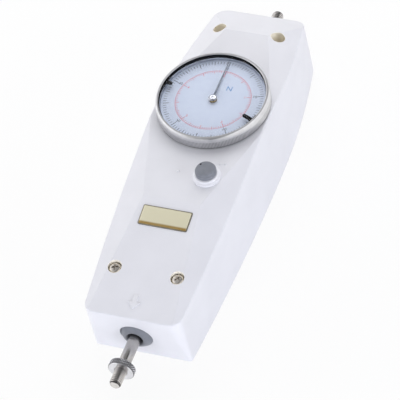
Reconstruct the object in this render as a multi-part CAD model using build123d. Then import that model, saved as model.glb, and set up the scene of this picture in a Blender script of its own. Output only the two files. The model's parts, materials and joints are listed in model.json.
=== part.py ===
from build123d import *
from math import atan2, cos, degrees, pi, radians, sin, sqrt, tan
import os

# Mechanical push-pull force gauge. Millimetres, +Z out of the dial, +Y towards the pull end.
# Everything is drawn from one datum: the dial axis, where it meets the flat back.
# At the end each piece is moved along Y so that the origin is midway between the rod's tips.

# ---- case: outer form ----------------------------------------------------------------------
plateau_z = 43.4            # flat front round the dial and the knob, above the back
mid_half_width = 30.0       # at the widest place, on the back
widest_y = -2.0
push_half_width = 24.9      # on the back, at the push end wall
push_wall_y = -121.6
pull_half_width = 22.9
pull_wall_y = 69.0
end_edge_z = 32.3           # height of the end walls' front edges
push_lean = 4.5             # how far each end wall leans out up to that edge
pull_lean = 1.9
side_draft = 1.0            # degrees
back_corner_r = 1.8         # the upright corners open out like cones
front_corner_r = 6.4
least_corner_r = 0.6
crease_y = -61.5            # where the front begins to slope down to the push end
crease_half_width = 14.7
push_slope = 9.8            # degrees
pull_edge_y = 49.1          # where the front breaks down to the pull end
pull_edge_half_width = 11.3
pull_slope = 27.0           # degrees
facet_fall = 0.435          # fall of the four side facets per mm across
push_facet_fall = 0.125     # and per mm along
pull_facet_fall = 0.161
edge_r = 0.8

# ---- case: walls, cover and fasteners ------------------------------------------------------
wall = 2.5
rim = 1.5                   # rim of the case that hides the back cover's edge
cover_t = 2.6
cover_gap = 0.12
push_screw = (16.0, -101.0)
pull_screw = (15.5, 50.9)
push_seat_z = 32.4          # where the screw heads sit
pull_seat_z = 26.0
counterbore_r = 3.4
column_r = 4.9
column_foot_z = 10.5
screw_r = 1.5
screw_head_r = 2.8
screw_head_h = 1.9
screw_gap = 0.1
thread_gap = 0.02
stand_hole_r = 2.0          # tapped holes in the back, for a stand
stand_hole_depth = 6.0
stand_spacing_x = 30.0
stand_spacing_y = 90.0
stand_mid_y = -28.0

# ---- measuring rod and its guides ----------------------------------------------------------
rod_r = 3.0
rod_z = 16.1
rod_play = 0.05
push_reach = 153.9          # dial axis to the rod's tips
pull_reach = 87.0
rod_tip_chamfer = 0.7
pull_thread_length = 13.0
thread_groove_depth = 0.4
thread_groove_width = 1.0
collar_r = 8.2
collar_mouth_r = 3.8
collar_flange_t = 3.8
collar_rim_t = 1.1          # the flange is a low cone above this rim
collar_top_r = 4.9
collar_body_r = 6.2
collar_body_length = 9.0
collar_boss_r = 8.6
seat_cut = 1.4              # spot face under each flange, measured at rod height
bush_r = 4.8
bush_length = 6.0
nut_r = 6.7
nut_t = 3.4
nut_face_y = 145.4          # dial axis to the nut's outer face
nut_chamfer = 0.45
nut_step = 0.05             # the push-end thread groove stands this far out of the nut

# ---- rack, gear train and pointer ----------------------------------------------------------
rack_module = 0.5
rack_pinion_teeth = 16
train_module = 0.4
drive_teeth = 50
centre_teeth = 20
backlash = 0.07             # taken off each tooth's thickness
rack_line_x = 4.5           # rod axis to the rack's pitch line
rack_z = 20.0
rack_t = 3.0
rack_back = 3.0             # the rack's plain side, beyond the rod axis
overrun = 0.15
chassis_z = 27.0
chassis_t = 2.5
chassis_half_width = 17.0
chassis_push_y = -66.0
chassis_pull_y = 42.0
wheel_gap = 0.7             # between wheels, plates and drum, along the arbors
drive_t = 1.5
drum_r = 5.0
drum_t = 2.6
bridge_t = 2.0
bridge_edge = 3.6           # bridge plate beyond the middles of its holes
arbor_r = 1.2
arbor_play = 0.04
cock_z = 14.2
cock_t = 2.0
cock_half_width = 2.6
cock_post_r = 1.8
cock_post_gap = 2.4         # from the pinion's tips to the middle of a post
guide_pin_r = 1.25
hair_h = 0.9                # hairspring above the bridge
hair_lift = 0.6
hair_inner_r = 2.2
hair_outer_r = 6.4
hair_turns = 3.5
hair_half_t = 0.12

# ---- small screws --------------------------------------------------------------------------
small_screw_r = 1.2
small_head_r = 2.2
small_head_h = 1.3
bridge_screw_r = 0.98
bridge_head_r = 1.9
bridge_head_h = 1.0
bridge_screw_length = 5.0
chassis_screw_length = 8.5
block_screw_length = 7.5
block_screw_x = 6.0
rack_screw_r = 0.8
rack_head_r = 1.5
rack_head_h = 0.8
rack_screw_x = 0.5
rack_screw_push = 8.5       # from the carrier's push end to the first rack screw
rack_screw_pull = 5.5       # and from its pull end to the second
slot_width = 0.6
slot_depth = 0.5

# ---- dial and bezel ------------------------------------------------------------------------
spigot_r = 25.0
spigot_wall = 3.4
spigot_h = 2.6
turn_play = 0.06
bezel_wall = 3.34           # round the spigot
bezel_foot_gap = 0.3
bezel_shoulder = 3.2        # height of the rounded upper edge
shoulder_steps = 4          # cones that make up the rounded edge
lip_width = 1.3
lip_crown = 0.5             # width of the lip's flat top
lip_rise = 0.35             # above the lens
seat_gap = 0.05             # round what is seated in the bezel
floor_gap = 0.4             # between the spigot and the dial
dial_t = 0.8
dial_hole_gap = 0.15        # round the pointer's sleeve
dial_opening_r = 6.2        # through the case, under the dial
spacer_t = 1.3
spacer_wall = 1.1
gasket_t = 1.3              # black ring under the lens
gasket_wall = 0.75
gasket_rim = 0.4            # and its thinner rim, round the lens
lens_t = 0.8
snap_ring_t = 0.7
marker_t = 0.45
marker_width = 2.0
marker_low_reach = 3.4
marker_high_reach = 6.0
marker_low_angle = -80.0    # clockwise from the zero mark, seen from the front
marker_high_angle = 113.0
pointer_length = 24.2
pointer_t = 0.35
pointer_lift = 0.95         # above the dial
hub_r = 2.1
sleeve_r = 1.8

# ---- hold knob and brake -------------------------------------------------------------------
knob_x = 11.8
knob_y = -43.9
knob_r = 5.4
knob_h = 4.2
knob_crown = 0.8            # width and height of the knob's rounded edge
knob_boss_r = 6.9
knob_boss_h = 1.6
knob_gap = 0.3
knob_shaft_r = 2.0
knob_bush_r = 3.4
crank_r = 2.6
crank_throw = 1.2
crank_play = 0.08
knob_turn = 90.0
lever_x = 2.86
lever_y = -29.45
lever_t = 2.0
lever_half_width = 1.3
lever_eye_r = 3.2
lever_pin_r = 1.5
brake_pad_r = 2.0
brake_gap = 0.08

# ---- spring and stops ----------------------------------------------------------------------
spring_r = 6.0
spring_wire_r = 0.75
spring_turns = 6.5
spring_steps = 12           # straight lengths of wire in a turn
spring_seat_y = 5.0         # push side of the seat clamped to the rod
spring_seat_t = 3.0
spring_seat_r = 7.6
cup_t = 1.5
block_half_width = 9.0
block_length = 8.0
block_gap = 0.05
buffer_t = 1.5
carrier_r = 4.5
carrier_push_y = -31.0
carrier_pull_y = -4.0
rest_stop_length = 4.0
stop_rise = 1.5             # rest stop and buffer beyond the carrier's radius

# ---- name plate ----------------------------------------------------------------------------
plate_half_width = 12.65
plate_length = 10.8
plate_mid_y = -71.6
plate_t = 0.9
plate_recess = 0.3

# ---- worked out ----------------------------------------------------------------------------
frame_y = (push_reach - pull_reach) / 2
roof_z = plateau_z - wall
chassis_top = chassis_z + chassis_t
rack_pinion_r = rack_module * rack_pinion_teeth / 2
drive_r = train_module * drive_teeth / 2
centre_r = train_module * centre_teeth / 2
centre_distance = drive_r + centre_r
arbor_x = -(rack_line_x + rack_pinion_r)
arbor_y = -sqrt(centre_distance**2 - arbor_x**2)
full_scale = 2 * pi * rack_pinion_r * centre_teeth / drive_teeth
travel = full_scale + overrun
drive_z = chassis_top + 2 * wheel_gap
drum_z = drive_z + drive_t + wheel_gap
lever_z = drum_z + (drum_t - lever_t) / 2
bridge_z = drum_z + drum_t + wheel_gap
bridge_top = bridge_z + bridge_t
hair_z = bridge_top + hair_lift
train_angle = degrees(atan2(-arbor_y, -arbor_x))
bezel_r = spigot_r + turn_play + bezel_wall
lip_r = bezel_r - lip_width
dial_back_z = plateau_z + spigot_h + floor_gap
dial_z = dial_back_z + dial_t
pointer_z = dial_z + pointer_lift
spacer_top = dial_z + spacer_t
lens_z = spacer_top + gasket_t
bezel_top_z = lens_z + lens_t + lip_rise
stop_y = chassis_push_y + block_length
block_pull_y = chassis_pull_y - block_length
lever_to_knob = Vector(knob_x - lever_x, knob_y - lever_y, 0)
along_lever = lever_to_knob.normalized()
across_lever = Vector(-along_lever.Y, along_lever.X, 0)
half_turn = radians(knob_turn / 2)
crank_in = crank_throw * cos(half_turn)      # the crank's centre, towards the lever's pivot
crank_aside = crank_throw * sin(half_turn)   # and to one side of the line to the knob
crank_x = knob_x - along_lever.X * crank_in - across_lever.X * crank_aside
crank_y = knob_y - along_lever.Y * crank_in - across_lever.Y * crank_aside
lever_turn = 2 * atan2(crank_aside, lever_to_knob.length - crank_in)
screw_columns = [
    (push_screw[0], push_screw[1], push_seat_z),
    (-push_screw[0], push_screw[1], push_seat_z),
    (pull_screw[0], pull_screw[1], pull_seat_z),
    (-pull_screw[0], pull_screw[1], pull_seat_z),
]
post_points = [(13.0, -57.0), (-13.0, -57.0), (13.0, 35.0), (-13.0, 35.0)]
post_r = 3.4
pillar_points = [(8.0, 8.0), (-14.0, 6.0), (7.5, -19.5)]
pillar_r = 2.0


# ---- helpers -------------------------------------------------------------------------------
def upright(radius, low, high, x=0.0, y=0.0):
    """A cylinder along Z."""
    return Pos(x, y, (low + high) / 2) * Cylinder(radius, high - low)


def along(radius, start, end, x=0.0, z=rod_z):
    """A cylinder along Y."""
    return Pos(x, (start + end) / 2, z) * Rot(90, 0, 0) * Cylinder(radius, end - start)


def block(x0, x1, y0, y1, z0, z1):
    """A box between two corners."""
    middle = Pos((x0 + x1) / 2, (y0 + y1) / 2, (z0 + z1) / 2)
    return middle * Box(x1 - x0, y1 - y0, z1 - z0)


def ring(outer, inner, low, high, x=0.0, y=0.0):
    """A ring round Z."""
    return upright(outer, low, high, x, y) - upright(inner, low - 1, high + 1, x, y)


def plate_on(points, radius, low, thickness):
    """A plate with round ends that takes in all the points."""
    discs = [Pos(x, y) * Circle(radius) for x, y in points]
    edges = [edge for disc in discs for edge in disc.edges()]
    return extrude(Pos(0, 0, low) * make_hull(edges), thickness)


def slotted_screw(x, y, seat, tip, shank_r, head_r, head_h):
    """A cheese-head screw along Z with one slot, its head on the far side of its seat."""
    way = 1 if seat > tip else -1
    top = seat + way * head_h
    screw = upright(head_r, min(seat, top), max(seat, top), x, y)
    screw += upright(shank_r, min(seat, tip), max(seat, tip), x, y)
    half = slot_width / 2
    slot = block(x - head_r, x + head_r, y - half, y + half, top - slot_depth, top + slot_depth)
    return screw - slot


def small_screw(x, y, seat, tip):
    return slotted_screw(x, y, seat, tip, small_screw_r, small_head_r, small_head_h)


# ---- case ----------------------------------------------------------------------------------
def case_outline(height, inset):
    """Plan of the case at a height: two long arcs a side, straight ends, rounded corners."""
    rise = height / end_edge_z
    pulled_in = height * tan(radians(side_draft)) + inset
    mid = mid_half_width - pulled_in
    push = push_half_width - pulled_in
    pull = pull_half_width - pulled_in
    push_y = push_wall_y - push_lean * rise + inset
    pull_y = pull_wall_y + pull_lean * rise - inset
    edges = [Line((push, push_y), (-push, push_y)), Line((pull, pull_y), (-pull, pull_y))]
    for side in (1, -1):
        start = (side * mid, widest_y)
        edges.append(TangentArc(start, (side * push, push_y), tangent=(0, -1)))
        edges.append(TangentArc(start, (side * pull, pull_y), tangent=(0, 1)))
    plan = make_face(edges)
    corners = [v for v in plan.vertices() if abs(v.Y - widest_y) > mid]
    corner_r = back_corner_r + (front_corner_r - back_corner_r) * rise - inset
    return Pos(0, 0, height) * fillet(corners, max(corner_r, least_corner_r))


def cut_above(body, x, y, across, lengthwise, inset):
    """Cut off what lies above a plane through (x, y) on the plateau, with these slopes."""
    normal = Vector(-across, -lengthwise, 1).normalized()
    origin = Vector(x, y, plateau_z) - normal * inset
    return split(body, bisect_by=Plane(origin=origin, z_dir=normal), keep=Keep.BOTTOM)


def case_form(inset, foot=0.0):
    """The faceted form of the case, drawn inset from its outer skin."""
    body = loft([case_outline(foot, inset), case_outline(plateau_z - inset, inset)], ruled=True)
    body = cut_above(body, 0, crease_y, 0, tan(radians(push_slope)), inset)
    body = cut_above(body, 0, pull_edge_y, 0, -tan(radians(pull_slope)), inset)
    for side in (1, -1):
        body = cut_above(body, side * crease_half_width, crease_y,
                         -side * facet_fall, push_facet_fall, inset)
        body = cut_above(body, side * pull_edge_half_width, pull_edge_y,
                         -side * facet_fall, -pull_facet_fall, inset)
    return body


def front_height(y):
    """Height of the front face on the centre line."""
    if y < crease_y:
        return plateau_z + (y - crease_y) * tan(radians(push_slope))
    if y > pull_edge_y:
        return plateau_z - (y - pull_edge_y) * tan(radians(pull_slope))
    return plateau_z


def wall_at_rod(end):
    """Where an end wall's outer skin crosses the rod axis: end is -1 push, +1 pull."""
    rise = rod_z / end_edge_z
    if end < 0:
        return push_wall_y - push_lean * rise
    return pull_wall_y + pull_lean * rise


def flange_seat(end):
    """The flat, square to the rod, on which a collar's flange sits."""
    return wall_at_rod(end) - end * seat_cut


def front_housing():
    skin = case_form(0)
    rim_edges = [e for e in skin.edges() if e.bounding_box().min.Z > rod_z]
    skin = fillet(rim_edges, edge_r)
    hollow = case_form(wall, foot=-1.0)
    housing = skin - hollow
    housing -= extrude(case_outline(0, rim), cover_t)
    for x, y, seat in screw_columns:
        housing += upright(column_r, column_foot_z, plateau_z, x, y) & case_form(wall / 2)
    for x, y in post_points:
        housing += upright(post_r, chassis_top, plateau_z, x, y) & case_form(wall / 2)
    for end in (-1, 1):
        inner = flange_seat(end) - end * collar_body_length
        outer = wall_at_rod(end)
        boss = along(collar_boss_r, min(inner, outer), max(inner, outer))
        housing += boss & case_form(wall / 2)
        out = flange_seat(end) + end * 3 * seat_cut
        near, far = sorted((flange_seat(end), out))
        housing -= along(collar_r + screw_gap, near, far)
        near, far = sorted((inner - end, flange_seat(end)))
        housing -= along(collar_body_r + thread_gap, near, far)
    for x, y, seat in screw_columns:
        housing -= upright(counterbore_r, seat, plateau_z + 1, x, y)
        housing -= upright(screw_r + screw_gap, 0, seat + 1, x, y)
    for x, y in post_points:
        housing -= upright(small_screw_r + thread_gap, chassis_top - 1, roof_z, x, y)
    housing += ring(spigot_r, spigot_r - spigot_wall, plateau_z, plateau_z + spigot_h)
    groove = spigot_groove_z()
    housing -= ring(spigot_r + 1, spigot_r - snap_ring_t, groove, groove + snap_ring_t + 0.1)
    housing -= upright(dial_opening_r, roof_z - 1, plateau_z + 1)
    housing += upright(knob_boss_r, plateau_z, plateau_z + knob_boss_h, knob_x, knob_y)
    boss_edge = [e for e in housing.edges() if e.geom_type == GeomType.CIRCLE
                 and abs(e.radius - knob_boss_r) < 0.01 and e.center().Z > plateau_z + 0.1]
    housing = chamfer(boss_edge, knob_boss_h / 2)
    housing -= upright(knob_bush_r + thread_gap, roof_z - 1, plateau_z + knob_boss_h + 1,
                       knob_x, knob_y)
    return housing - plate_pocket()


def spigot_groove_z():
    return plateau_z + spigot_h / 2 - snap_ring_t / 2 - 0.05


def on_slope(shape, lift):
    """Place a shape drawn at the origin on the push-end slope, under the name plate."""
    tilt = Rot(push_slope, 0, 0)
    return Pos(0, plate_mid_y, front_height(plate_mid_y)) * tilt * Pos(0, 0, lift) * shape


def plate_pocket():
    outline = RectangleRounded(2 * plate_half_width + 0.1, plate_length + 0.1, 0.85)
    return on_slope(extrude(outline, 2 * plate_recess), -plate_recess)


def name_plate():
    outline = RectangleRounded(2 * plate_half_width, plate_length, 0.8)
    return on_slope(extrude(outline, plate_t), -plate_recess)


def back_cover():
    cover = extrude(case_outline(0, rim + cover_gap), cover_t)
    for x, y, seat in screw_columns:
        cover += upright(column_r - 0.4, cover_t, column_foot_z, x, y)
        cover -= upright(screw_r + thread_gap, cover_t / 2, column_foot_z + 1, x, y)
    for x, y in stand_points():
        cover += upright(stand_hole_r + 2.2, cover_t, stand_hole_depth + 1, x, y)
        cover -= upright(stand_hole_r, -1, stand_hole_depth, x, y)
    return cover


def stand_points():
    across = stand_spacing_x / 2
    length = stand_spacing_y / 2
    return [(sx * across, stand_mid_y + sy * length) for sx in (1, -1) for sy in (1, -1)]


def housing_screws():
    screws = []
    for x, y, seat in screw_columns:
        screw = upright(screw_head_r, seat, seat + screw_head_h, x, y)
        screw = chamfer(screw.edges().group_by(Axis.Z)[-1], screw_head_h / 3)
        for turn in (45, 135):
            cross = Box(2.4, 0.55, 1.8)
            screw -= Pos(x, y, seat + screw_head_h) * Rot(0, 0, turn) * cross
        screw += upright(screw_r, cover_t / 2 + 1, seat, x, y)
        screws.append(screw)
    return Compound(screws)


# ---- rod, collars and stops ----------------------------------------------------------------
def collar(end):
    """Grey guide collar in an end wall: flange outside, body through the wall."""
    seat = flange_seat(end)
    face = seat + end * collar_flange_t
    inner = seat - end * collar_body_length
    rim_face = seat + end * collar_rim_t
    near, far = sorted((seat, rim_face))
    flange = along(collar_r, near, far)
    crown = Cone(collar_r, collar_top_r, abs(face - rim_face))
    flange += Pos(0, (rim_face + face) / 2, rod_z) * Rot(-90 * end, 0, 0) * crown
    near, far = sorted((inner, seat))
    body = flange + along(collar_body_r, near, far)
    near, far = sorted((inner - end, face + end))
    body -= along(collar_mouth_r, near, far)
    near, far = sorted((inner - end, inner + end * bush_length))
    return body - along(bush_r + thread_gap, near, far)


def bush(end):
    """Bronze sleeve that guides the rod, seated in the collar's inner end."""
    inner = flange_seat(end) - end * collar_body_length
    near, far = sorted((inner, inner + end * bush_length))
    return along(bush_r, near, far) - along(rod_r + rod_play, near - 1, far + 1)


def measuring_rod():
    """Rod with chamfered tips; a groove ends each thread, the push-end one inside the nut."""
    rod = along(rod_r, -push_reach, pull_reach)
    rod = chamfer(rod.edges().filter_by(GeomType.CIRCLE), rod_tip_chamfer)
    push_root = -nut_face_y + thread_groove_width / 2 - nut_step
    pull_root = pull_reach - pull_thread_length
    for root in (push_root, pull_root):
        near = root - thread_groove_width / 2
        far = root + thread_groove_width / 2
        rod -= along(rod_r + 1, near, far) - along(rod_r - thread_groove_depth, near - 1, far + 1)
    return rod


def lock_nut():
    nut = along(nut_r, -nut_face_y, -nut_face_y + nut_t)
    nut = chamfer(nut.edges().filter_by(GeomType.CIRCLE), nut_chamfer)
    return nut - along(rod_r + rod_play, -nut_face_y - 1, -nut_face_y + nut_t + 1)


def clamp_ring(radius, start, end):
    """A ring clamped on the rod, with its grub screw's hole."""
    body = along(radius, start, end)
    body = chamfer(body.edges().filter_by(GeomType.CIRCLE), 0.4)
    body -= along(rod_r, start - 1, end + 1)
    return body - upright(0.8, rod_z, rod_z + radius + 1, 0, (start + end) / 2)


def rack_carrier():
    """Sleeve on the rod with a flat on which the rack is screwed."""
    body = along(carrier_r, carrier_push_y, carrier_pull_y)
    body -= along(rod_r, carrier_push_y - 1, carrier_pull_y + 1)
    body -= block(-carrier_r, carrier_r, carrier_push_y - 1, carrier_pull_y + 1,
                  rack_z, rack_z + carrier_r)
    return body


def main_spring():
    """Compression spring round the rod, wire of six flats, between its seat and its cup."""
    start = spring_seat_y + spring_seat_t + spring_wire_r
    end = block_pull_y - cup_t - spring_wire_r
    steps = round(spring_turns * spring_steps)
    points = []
    for step in range(steps + 1):
        angle = 2 * pi * step / spring_steps
        y = start + (end - start) * step / steps
        points.append((spring_r * cos(angle), y, rod_z + spring_r * sin(angle)))
    path = Polyline(points)
    section = Plane(path @ 0, z_dir=path % 0) * RegularPolygon(spring_wire_r, 6)
    return sweep(section, path=path, transition=Transition.RIGHT)


# ---- gears ---------------------------------------------------------------------------------
def involute(angle):
    return tan(angle) - angle


def gear_outline(module, teeth, first_angle):
    """Spur gear with three points a flank; a tooth is centred on first_angle, in degrees."""
    pitch_r = module * teeth / 2
    base_r = pitch_r * cos(radians(20))
    tip_r = pitch_r + 0.9 * module
    root_r = pitch_r - 1.2 * module
    half_pitch = pi / 2 / teeth - backlash / 2 / pitch_r
    at_pitch = involute(radians(20))
    flank = [] if base_r < root_r else [(root_r, half_pitch + at_pitch)]
    for radius in (max(base_r, root_r), pitch_r, tip_r):
        lean = atan2(sqrt(max(radius**2 - base_r**2, 0)), base_r)
        flank.append((radius, half_pitch + at_pitch - involute(lean)))
    points = []
    for tooth in range(teeth):
        middle = radians(first_angle) + 2 * pi * tooth / teeth
        rising = [(r, middle - half) for r, half in flank]
        falling = [(r, middle + half) for r, half in reversed(flank)]
        points += [(r * cos(a), r * sin(a)) for r, a in rising + falling]
    return make_face(Polyline(points, close=True))


def gear(module, teeth, first_angle, x, y, low, thickness, bore):
    body = Pos(x, y, low) * extrude(gear_outline(module, teeth, first_angle), thickness)
    return body - upright(bore, low - 1, low + thickness + 1, x, y)


def rack_pinion():
    return gear(rack_module, rack_pinion_teeth, 0, arbor_x, arbor_y, rack_z, rack_t, arbor_r)


def drive_gear():
    wheel = gear(train_module, drive_teeth, train_angle, arbor_x, arbor_y,
                 drive_z, drive_t, arbor_r)
    for spoke in range(4):
        turn = Rot(0, 0, 45 + 90 * spoke)
        window = Pos(drive_r * 0.58, 0, drive_z + drive_t / 2) * Cylinder(2.0, 2 * drive_t)
        wheel -= Pos(arbor_x, arbor_y, 0) * turn * window
    return wheel


def centre_pinion():
    first = train_angle + 180 + 180 / centre_teeth
    low = drive_z - wheel_gap / 2
    return gear(train_module, centre_teeth, first, 0, 0, low, drive_t + wheel_gap, arbor_r)


def rack():
    """Flat rack screwed on the carrier, its teeth towards the pinion."""
    pitch = pi * rack_module
    line = -rack_line_x
    tip = line - 0.8 * rack_module
    root = line + 1.2 * rack_module
    slope = tan(radians(20))
    half_tip = pitch / 4 - backlash / 2 - 0.8 * rack_module * slope
    half_root = pitch / 4 - backlash / 2 + 1.2 * rack_module * slope
    low = arbor_y - travel - rack_pinion_r
    count = int((travel + 2 * rack_pinion_r) / pitch) + 1
    first = arbor_y + pitch / 2 - pitch * int((arbor_y - low) / pitch + 1)
    bar = block(root, rack_back, first - pitch / 2, first + pitch * (count + 0.5),
                rack_z, rack_z + rack_t)
    for tooth in range(count + 1):
        y = first + tooth * pitch
        corners = [(root + 0.1, y - half_root), (root, y - half_root), (tip, y - half_tip),
                   (tip, y + half_tip), (root, y + half_root), (root + 0.1, y + half_root)]
        face = make_face(Polyline(corners, close=True))
        bar += extrude(Pos(0, 0, rack_z) * face, rack_t)
    for y in rack_screw_ys():
        bar -= upright(rack_screw_r + thread_gap, rack_z - 1, rack_z + rack_t + 1, rack_screw_x, y)
    return bar


def rack_screw_ys():
    return (carrier_push_y + rack_screw_push, carrier_pull_y - rack_screw_pull)


def pinion_arbor():
    return upright(arbor_r, cock_z, bridge_top, arbor_x, arbor_y)


def centre_arbor():
    return upright(arbor_r, chassis_z, pointer_z + pointer_t + 0.2)


def brake_drum():
    return ring(drum_r, arbor_r, drum_z, drum_z + drum_t, arbor_x, arbor_y)


# ---- chassis -------------------------------------------------------------------------------
def guide_pin_y():
    return carrier_push_y + 3.5


def chassis_plate():
    plan = RectangleRounded(2 * chassis_half_width, chassis_pull_y - chassis_push_y, 4)
    middle = (chassis_pull_y + chassis_push_y) / 2
    plate = Pos(0, middle, chassis_z) * extrude(plan, chassis_t)
    low = chassis_z - 1
    high = chassis_top + 1
    plate -= upright(arbor_r + arbor_play, low, high)
    plate -= upright(arbor_r + arbor_play, low, high, arbor_x, arbor_y)
    for x, y in post_points + block_screw_points():
        plate -= upright(small_screw_r + screw_gap, low, high, x, y)
    start = guide_pin_y()
    slot = Pos(0, start + travel / 2, low) * Rot(0, 0, 90)
    return plate - slot * extrude(SlotCenterToCenter(travel, 2 * guide_pin_r + 0.3), chassis_t + 2)


def guide_pin():
    """Pin on the rack that runs in the chassis slot and keeps the rod from turning."""
    return upright(guide_pin_r, rack_z + rack_t, chassis_top - 0.3, 0, guide_pin_y())


def block_screw_points():
    return [(x, y) for x in (-block_screw_x, block_screw_x)
            for y in (chassis_push_y + block_length / 2, chassis_pull_y - block_length / 2)]


def guide_block(start):
    """Block under the chassis that guides the rod and takes the spring or the rest stop."""
    body = block(-block_half_width, block_half_width, start, start + block_length,
                 rod_z - rod_r - 3.5, chassis_z)
    body = chamfer(body.edges().filter_by(Axis.Y).group_by(Axis.Z)[0], 1.5)
    body -= along(rod_r + rod_play, start - 1, start + block_length + 1)
    for x, y in block_screw_points():
        if start < y < start + block_length:
            low = chassis_top - block_screw_length - 0.5
            body -= upright(small_screw_r + thread_gap, low, chassis_z + 1, x, y)
    return body


def cock():
    """Small plate below the chassis on two posts, with the pinion's lower bearing."""
    reach = rack_pinion_r + rack_module + cock_post_gap
    ends = [(arbor_x, arbor_y - reach), (arbor_x, arbor_y + reach)]
    body = plate_on(ends, cock_half_width, cock_z, cock_t)
    for x, y in ends:
        body += upright(cock_post_r, cock_z + cock_t, chassis_z, x, y)
    return body - upright(arbor_r + arbor_play, cock_z - 1, cock_z + cock_t + 1,
                          arbor_x, arbor_y)


def bridge_plate():
    points = pillar_points + [(arbor_x, arbor_y)]
    plate = plate_on(points, bridge_edge, bridge_z, bridge_t)
    plate -= upright(arbor_r + arbor_play, bridge_z - 1, bridge_top + 1)
    plate -= upright(arbor_r + arbor_play, bridge_z - 1, bridge_top + 1, arbor_x, arbor_y)
    for x, y in pillar_points:
        plate -= upright(bridge_screw_r + screw_gap, bridge_z - 1, bridge_top + 1, x, y)
    return plate


def bridge_pillars():
    pillars = []
    for x, y in pillar_points:
        hole_foot = bridge_top - bridge_screw_length - 1
        hole = upright(bridge_screw_r + thread_gap, hole_foot, bridge_z + 1, x, y)
        pillars.append(upright(pillar_r, chassis_top, bridge_z, x, y) - hole)
    return Compound(pillars)


def bridge_screws():
    tip = bridge_top - bridge_screw_length
    return Compound([slotted_screw(x, y, bridge_top, tip, bridge_screw_r, bridge_head_r,
                                   bridge_head_h) for x, y in pillar_points])


def chassis_screws():
    tip = chassis_z + chassis_screw_length
    return Compound([small_screw(x, y, chassis_z, tip) for x, y in post_points])


def block_screws():
    tip = chassis_top - block_screw_length
    return Compound([small_screw(x, y, chassis_top, tip) for x, y in block_screw_points()])


def rack_screws():
    top = rack_z + rack_t
    return Compound([slotted_screw(rack_screw_x, y, top, rack_z, rack_screw_r, rack_head_r,
                                   rack_head_h) for y in rack_screw_ys()])


# ---- hairspring ----------------------------------------------------------------------------
def hair_point(turn, offset):
    radius = hair_inner_r + (hair_outer_r - hair_inner_r) * turn / hair_turns + offset
    angle = 2 * pi * turn
    return (radius * cos(angle), radius * sin(angle))


def hairspring():
    """Flat spiral spring that takes up the play of the gear train."""
    steps = int(16 * hair_turns)
    turns = [hair_turns * k / steps for k in range(steps + 1)]
    outside = [hair_point(turn, hair_half_t) for turn in turns]
    inside = [hair_point(turn, -hair_half_t) for turn in reversed(turns)]
    strip = make_face(Polyline(outside + inside, close=True))
    return extrude(Pos(0, 0, hair_z) * strip, hair_h)


def hairspring_collet():
    return ring(hair_inner_r - hair_half_t, arbor_r, hair_z, hair_z + hair_h)


def hairspring_stud():
    x, y = hair_point(hair_turns, hair_half_t + 0.75)
    return upright(0.74, bridge_top, hair_z + hair_h, x, y)


# ---- dial and bezel ------------------------------------------------------------------------
def bezel_ring():
    """Turned ring: rounded shoulder up to a rolled lip, ledge for the dial, bore below."""
    foot = plateau_z + bezel_foot_gap
    bore = spigot_r + turn_play
    shoulder = []
    for step in range(shoulder_steps + 1):
        angle = pi / 2 * step / shoulder_steps
        radius = bezel_r - (lip_width - lip_crown) * (1 - cos(angle))
        shoulder.append((radius, bezel_top_z - bezel_shoulder * (1 - sin(angle))))
    inner = [(lip_r, bezel_top_z - lip_rise), (lip_r, dial_back_z), (bore, dial_back_z),
             (bore, foot), (bezel_r, foot)]
    crown = (lip_r + lip_rise, bezel_top_z)
    profile = make_face(Polyline(shoulder + [crown] + inner, close=True))
    body = revolve(Plane.XZ * profile, Axis.Z)
    groove = spigot_groove_z()
    return body - ring(bore + snap_ring_t, bore - 1, groove, groove + snap_ring_t + 0.1)


def snap_ring():
    """Split ring in the two grooves that keeps the bezel on the spigot."""
    low = spigot_groove_z() + 0.05
    body = ring(spigot_r + turn_play + snap_ring_t - 0.2, spigot_r - snap_ring_t + 0.05,
                low, low + snap_ring_t)
    return body - block(-3, 3, spigot_r - 3, spigot_r + 3, low - 1, low + 2)


def dial_plate():
    return ring(lip_r - seat_gap, sleeve_r + dial_hole_gap, dial_back_z, dial_z)


def spacer_ring():
    return ring(lip_r - seat_gap, lip_r - spacer_wall, dial_z, spacer_top)


def lens_gasket():
    """Ring of L section: its ledge carries the lens and its rim fills the gap round it."""
    ledge = ring(lip_r - seat_gap, lip_r - gasket_wall, spacer_top, lens_z)
    return ledge + ring(lip_r - seat_gap, lip_r - gasket_rim, lens_z, lens_z + lens_t)


def lens():
    body = upright(lip_r - gasket_rim - seat_gap / 2, lens_z, lens_z + lens_t)
    return chamfer(body.edges().group_by(Axis.Z)[-1], 0.15)


def limit_marker(angle, reach):
    """Tab with a curved foot that slides round inside the gasket."""
    low = lens_z - 0.1 - marker_t
    foot_r = lip_r - gasket_wall - 0.05
    foot = ring(foot_r, foot_r - 0.6, low, low + marker_t)
    half = marker_width * 1.6
    foot &= block(-half, half, foot_r / 2, foot_r + 1, low - 1, lens_z)
    near = foot_r - reach
    tab = block(-marker_width / 2, marker_width / 2, near + marker_width / 2, foot_r - 0.3,
                low, low + marker_t)
    tab += upright(marker_width / 2, low, low + marker_t, 0, near + marker_width / 2)
    return Rot(0, 0, -angle) * (foot + tab)


def pointer():
    tip_half = 0.18
    root_half = 0.5
    blade = make_face(Polyline((-root_half, 0), (root_half, 0), (tip_half, pointer_length),
                               (-tip_half, pointer_length), close=True))
    body = extrude(Pos(0, 0, pointer_z) * blade, pointer_t)
    body += upright(hub_r - 0.4, pointer_z, pointer_z + pointer_t)
    return body - upright(arbor_r, pointer_z - 1, pointer_z + 1)


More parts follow.
